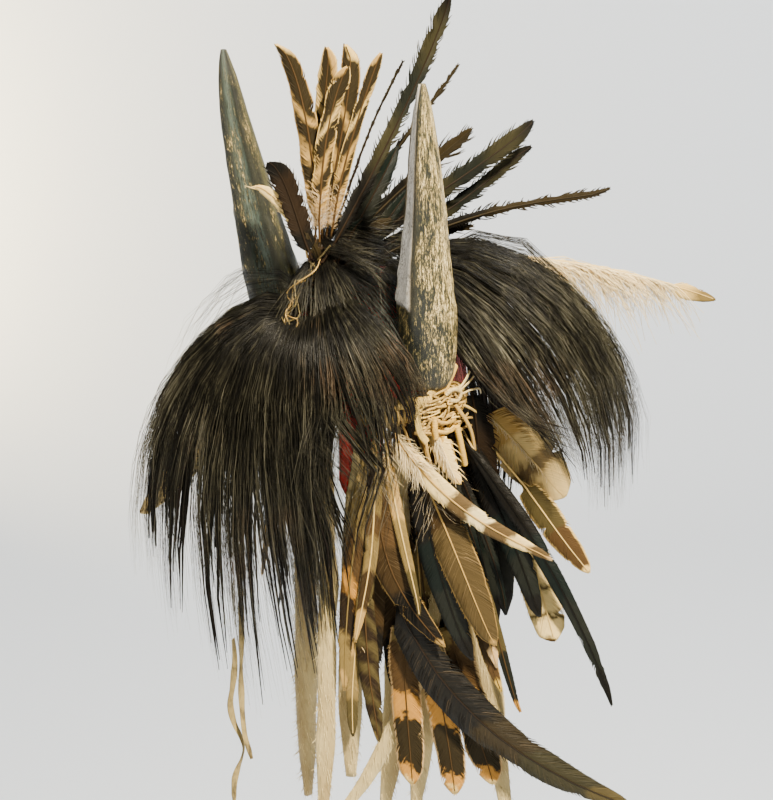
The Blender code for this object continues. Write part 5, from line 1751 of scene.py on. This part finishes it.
def makeTies():
    random = np.random.default_rng(17)
    turnOf = lambda place: math.atan2(abs(place[0]), -place[1])
    for seed, name in enumerate(("side_tie_left", "side_tie_right")):
        pieces = wound(name + "_cord", ringsAlong(name, turnOf, 8), sinews["sinew"], 5 + seed, 48)
        if name == "side_tie_left":
            for label, finish, share in (("tangle", "sinew", 1), ("knot", "rawhide", 2)):
                lines, facings = tangled(random, tie["tangle"] // share)
                half = tie[label + "Girth"]
                pieces.append(cordPiece(label, lines, facings, half, 0.9, sinews[finish], random))
            pieces += rimStrips("detail", tieDetails, random)
            fit(joined("hide_tab_left_split", rimStrips("tab", tabDetails, random)), "hide", "hide_tab_left")
        fit(joined(name + "_wound", pieces), "sinew", name)
    pieces = wound("crown_wrap", ringsCast("crown_tie", np.array((-0.018, -0.05)), 9, 12),
                   sinews["red wrap"], 9, 30)
    lacing = along(np.array(((2, -64, 147), (-8, -66, 138), (-22, -66, 132), (-12, -66, 124),
                             (-26, -66, 116), (-14, -67, 108), (-28, -66, 100), (-20, -69, 92),
                             (-32, -68, 84)), dtype=float), np.linspace(0, 1, 70)) * mm
    lacing = lacing + 0.0016 * fineNoise((70, 3), 77, 11, 3)
    facings = np.tile(heading(15), (70, 1))
    pieces.append(cordPiece("lacing", lacing[None], facings[None], tie["lacingGirth"], 0.7,
                            sinews["olive lacing"], random))
    for i in range(tie["browThreads"]):
        loose = browThreads + random.normal(0, 1, browThreads.shape) * tie["browScatter"]
        smooth = along(loose, np.linspace(0, 1, 24))
        line = (heading(smooth[:, 0]) * smooth[:, 1:2] + up * smooth[:, 2:]) * mm
        finish = sinews["sinew" if i % 3 == 0 else "olive lacing"]
        pieces.append(cordPiece("brow_thread", line[None], heading(smooth[:, 0])[None],
                                tie["browGirth"], 0.8, finish, random, 4))
    fit(joined("crown_tie_wound", pieces), "sinew", "crown_tie")
    print("ties wound")


# fur strips: a soft core with short hair over it
fur = {"around": 18, "rows": 60, "density": 55000.0, "length": 0.0070, "girth": 0.060, "lean": 1.6,
       "wander": 0.5}


def furTree():
    # short bent hairs scattered over a skin, lying down its length
    tree, given, end = newTree("fur", [
        ("Density", "Float"), ("Length", "Float"), ("Girth", "Float"), ("Lean", "Float"),
        ("Wander", "Float"), ("Seed", "Int"), ("Finish", "Material")])
    spots = addNode(tree, "GeometryNodeDistributePointsOnFaces", {}, {
        "Mesh": given["Geometry"], "Density": given["Density"], "Seed": given["Seed"]})
    tinted = addNode(tree, "GeometryNodeStoreNamedAttribute", {"domain": "POINT"}, {
        "Geometry": spots.outputs["Points"], "Name": "tint",
        "Value": made(tree, "FunctionNodeRandomValue", {}, {"Seed": given["Seed"]})})
    line = addNode(tree, "GeometryNodeCurvePrimitiveLine", {}, {"End": (0.0, 0.0, 1.0)})
    bent = addNode(tree, "GeometryNodeResampleCurve", {}, {"Curve": output(line), "Count": 3})
    share = made(tree, "GeometryNodeSplineParameter")
    bow = addNode(tree, "ShaderNodeCombineXYZ", {}, {
        "X": times(tree, times(tree, share, share), 0.35)})
    bowed = addNode(tree, "GeometryNodeSetPosition", {}, {
        "Geometry": output(bent), "Offset": output(bow)})
    girth = times(tree, given["Girth"], timesPlus(tree, share, -0.85, 1.0))
    single = tubesOn(tree, output(bowed), ringOf(tree, 3), girth)
    messy = addNode(tree, "FunctionNodeRandomValue", {"data_type": "FLOAT_VECTOR"}, {
        "Min": (-1.0, -1.0, -1.0), "Max": (1.0, 1.0, 1.0), "Seed": calc(tree, "ADD", given["Seed"], 1.0)})
    down = scaled(tree, (0.0, 0.0, -1.0), given["Lean"])
    lay = calcVector(tree, "ADD", calcVector(tree, "ADD", spots.outputs["Normal"], down),
                     scaled(tree, output(messy), given["Wander"]))
    turn = addNode(tree, "FunctionNodeAlignRotationToVector", {"axis": "Z"}, {"Vector": lay})
    long = addNode(tree, "FunctionNodeRandomValue", {}, {
        "Min": 0.5, "Max": 1.15, "Seed": calc(tree, "ADD", given["Seed"], 2.0)})
    hairs = addNode(tree, "GeometryNodeInstanceOnPoints", {}, {
        "Points": output(tinted), "Instance": single, "Rotation": output(turn),
        "Scale": times(tree, output(long), given["Length"])})
    finishTree(tree, end, output(hairs), given["Finish"])
    return tree


def furMaterial(name, pale, deep):
    material, tree, shader = newMaterial(name, roughness=0.8, sheen=0.15)
    tint = attribute(tree, "tint")
    patch = noise(tree, 26.0, 3.0, stretch=(1.0, 1.0, 0.4))
    share = calc(tree, "ADD", times(tree, tint, 0.4), times(tree, patch, 0.75))
    colour = colourRamp(tree, share, (0.2, deep), (0.62, pale), (1.0, tuple(min(1, c * 1.2) for c in pale)))
    paint(tree, shader, colour)
    return material


def makeStrips():
    tree = furTree()
    finish = furMaterial("cream fur", (0.72, 0.58, 0.275), (0.26, 0.18, 0.065))
    for seed in range(1, 8):
        name = "fur_strip_%d" % seed
        rings = readRings(name, 6, lambda place: place.z)
        shape = smoothRings(rings, fur["rows"], fur["around"])
        middle = shape.mean(axis=1, keepdims=True)
        lumps = 0.94 + 0.12 * fineNoise(shape.shape[:2], 70 + seed, 11, 5)
        shape = middle + (shape - middle) * lumps[..., None]
        core = addPiece(name + "_core", tubeMesh(name + "_core", shape), finish)
        skin = addPiece(name + "_skin", core.data.copy())
        values = {"Density": fur["density"], "Length": fur["length"], "Girth": fur["girth"],
                  "Lean": fur["lean"], "Wander": fur["wander"], "Seed": seed, "Finish": finish}
        coat = grow(skin, tree, values, name + "_coat")
        piece = fit(joined(name + "_furred", [core, coat]), "cream_fur", name)
        print(name, "furred,", len(piece.data.polygons), "faces")


makeStrips()
makeTies()
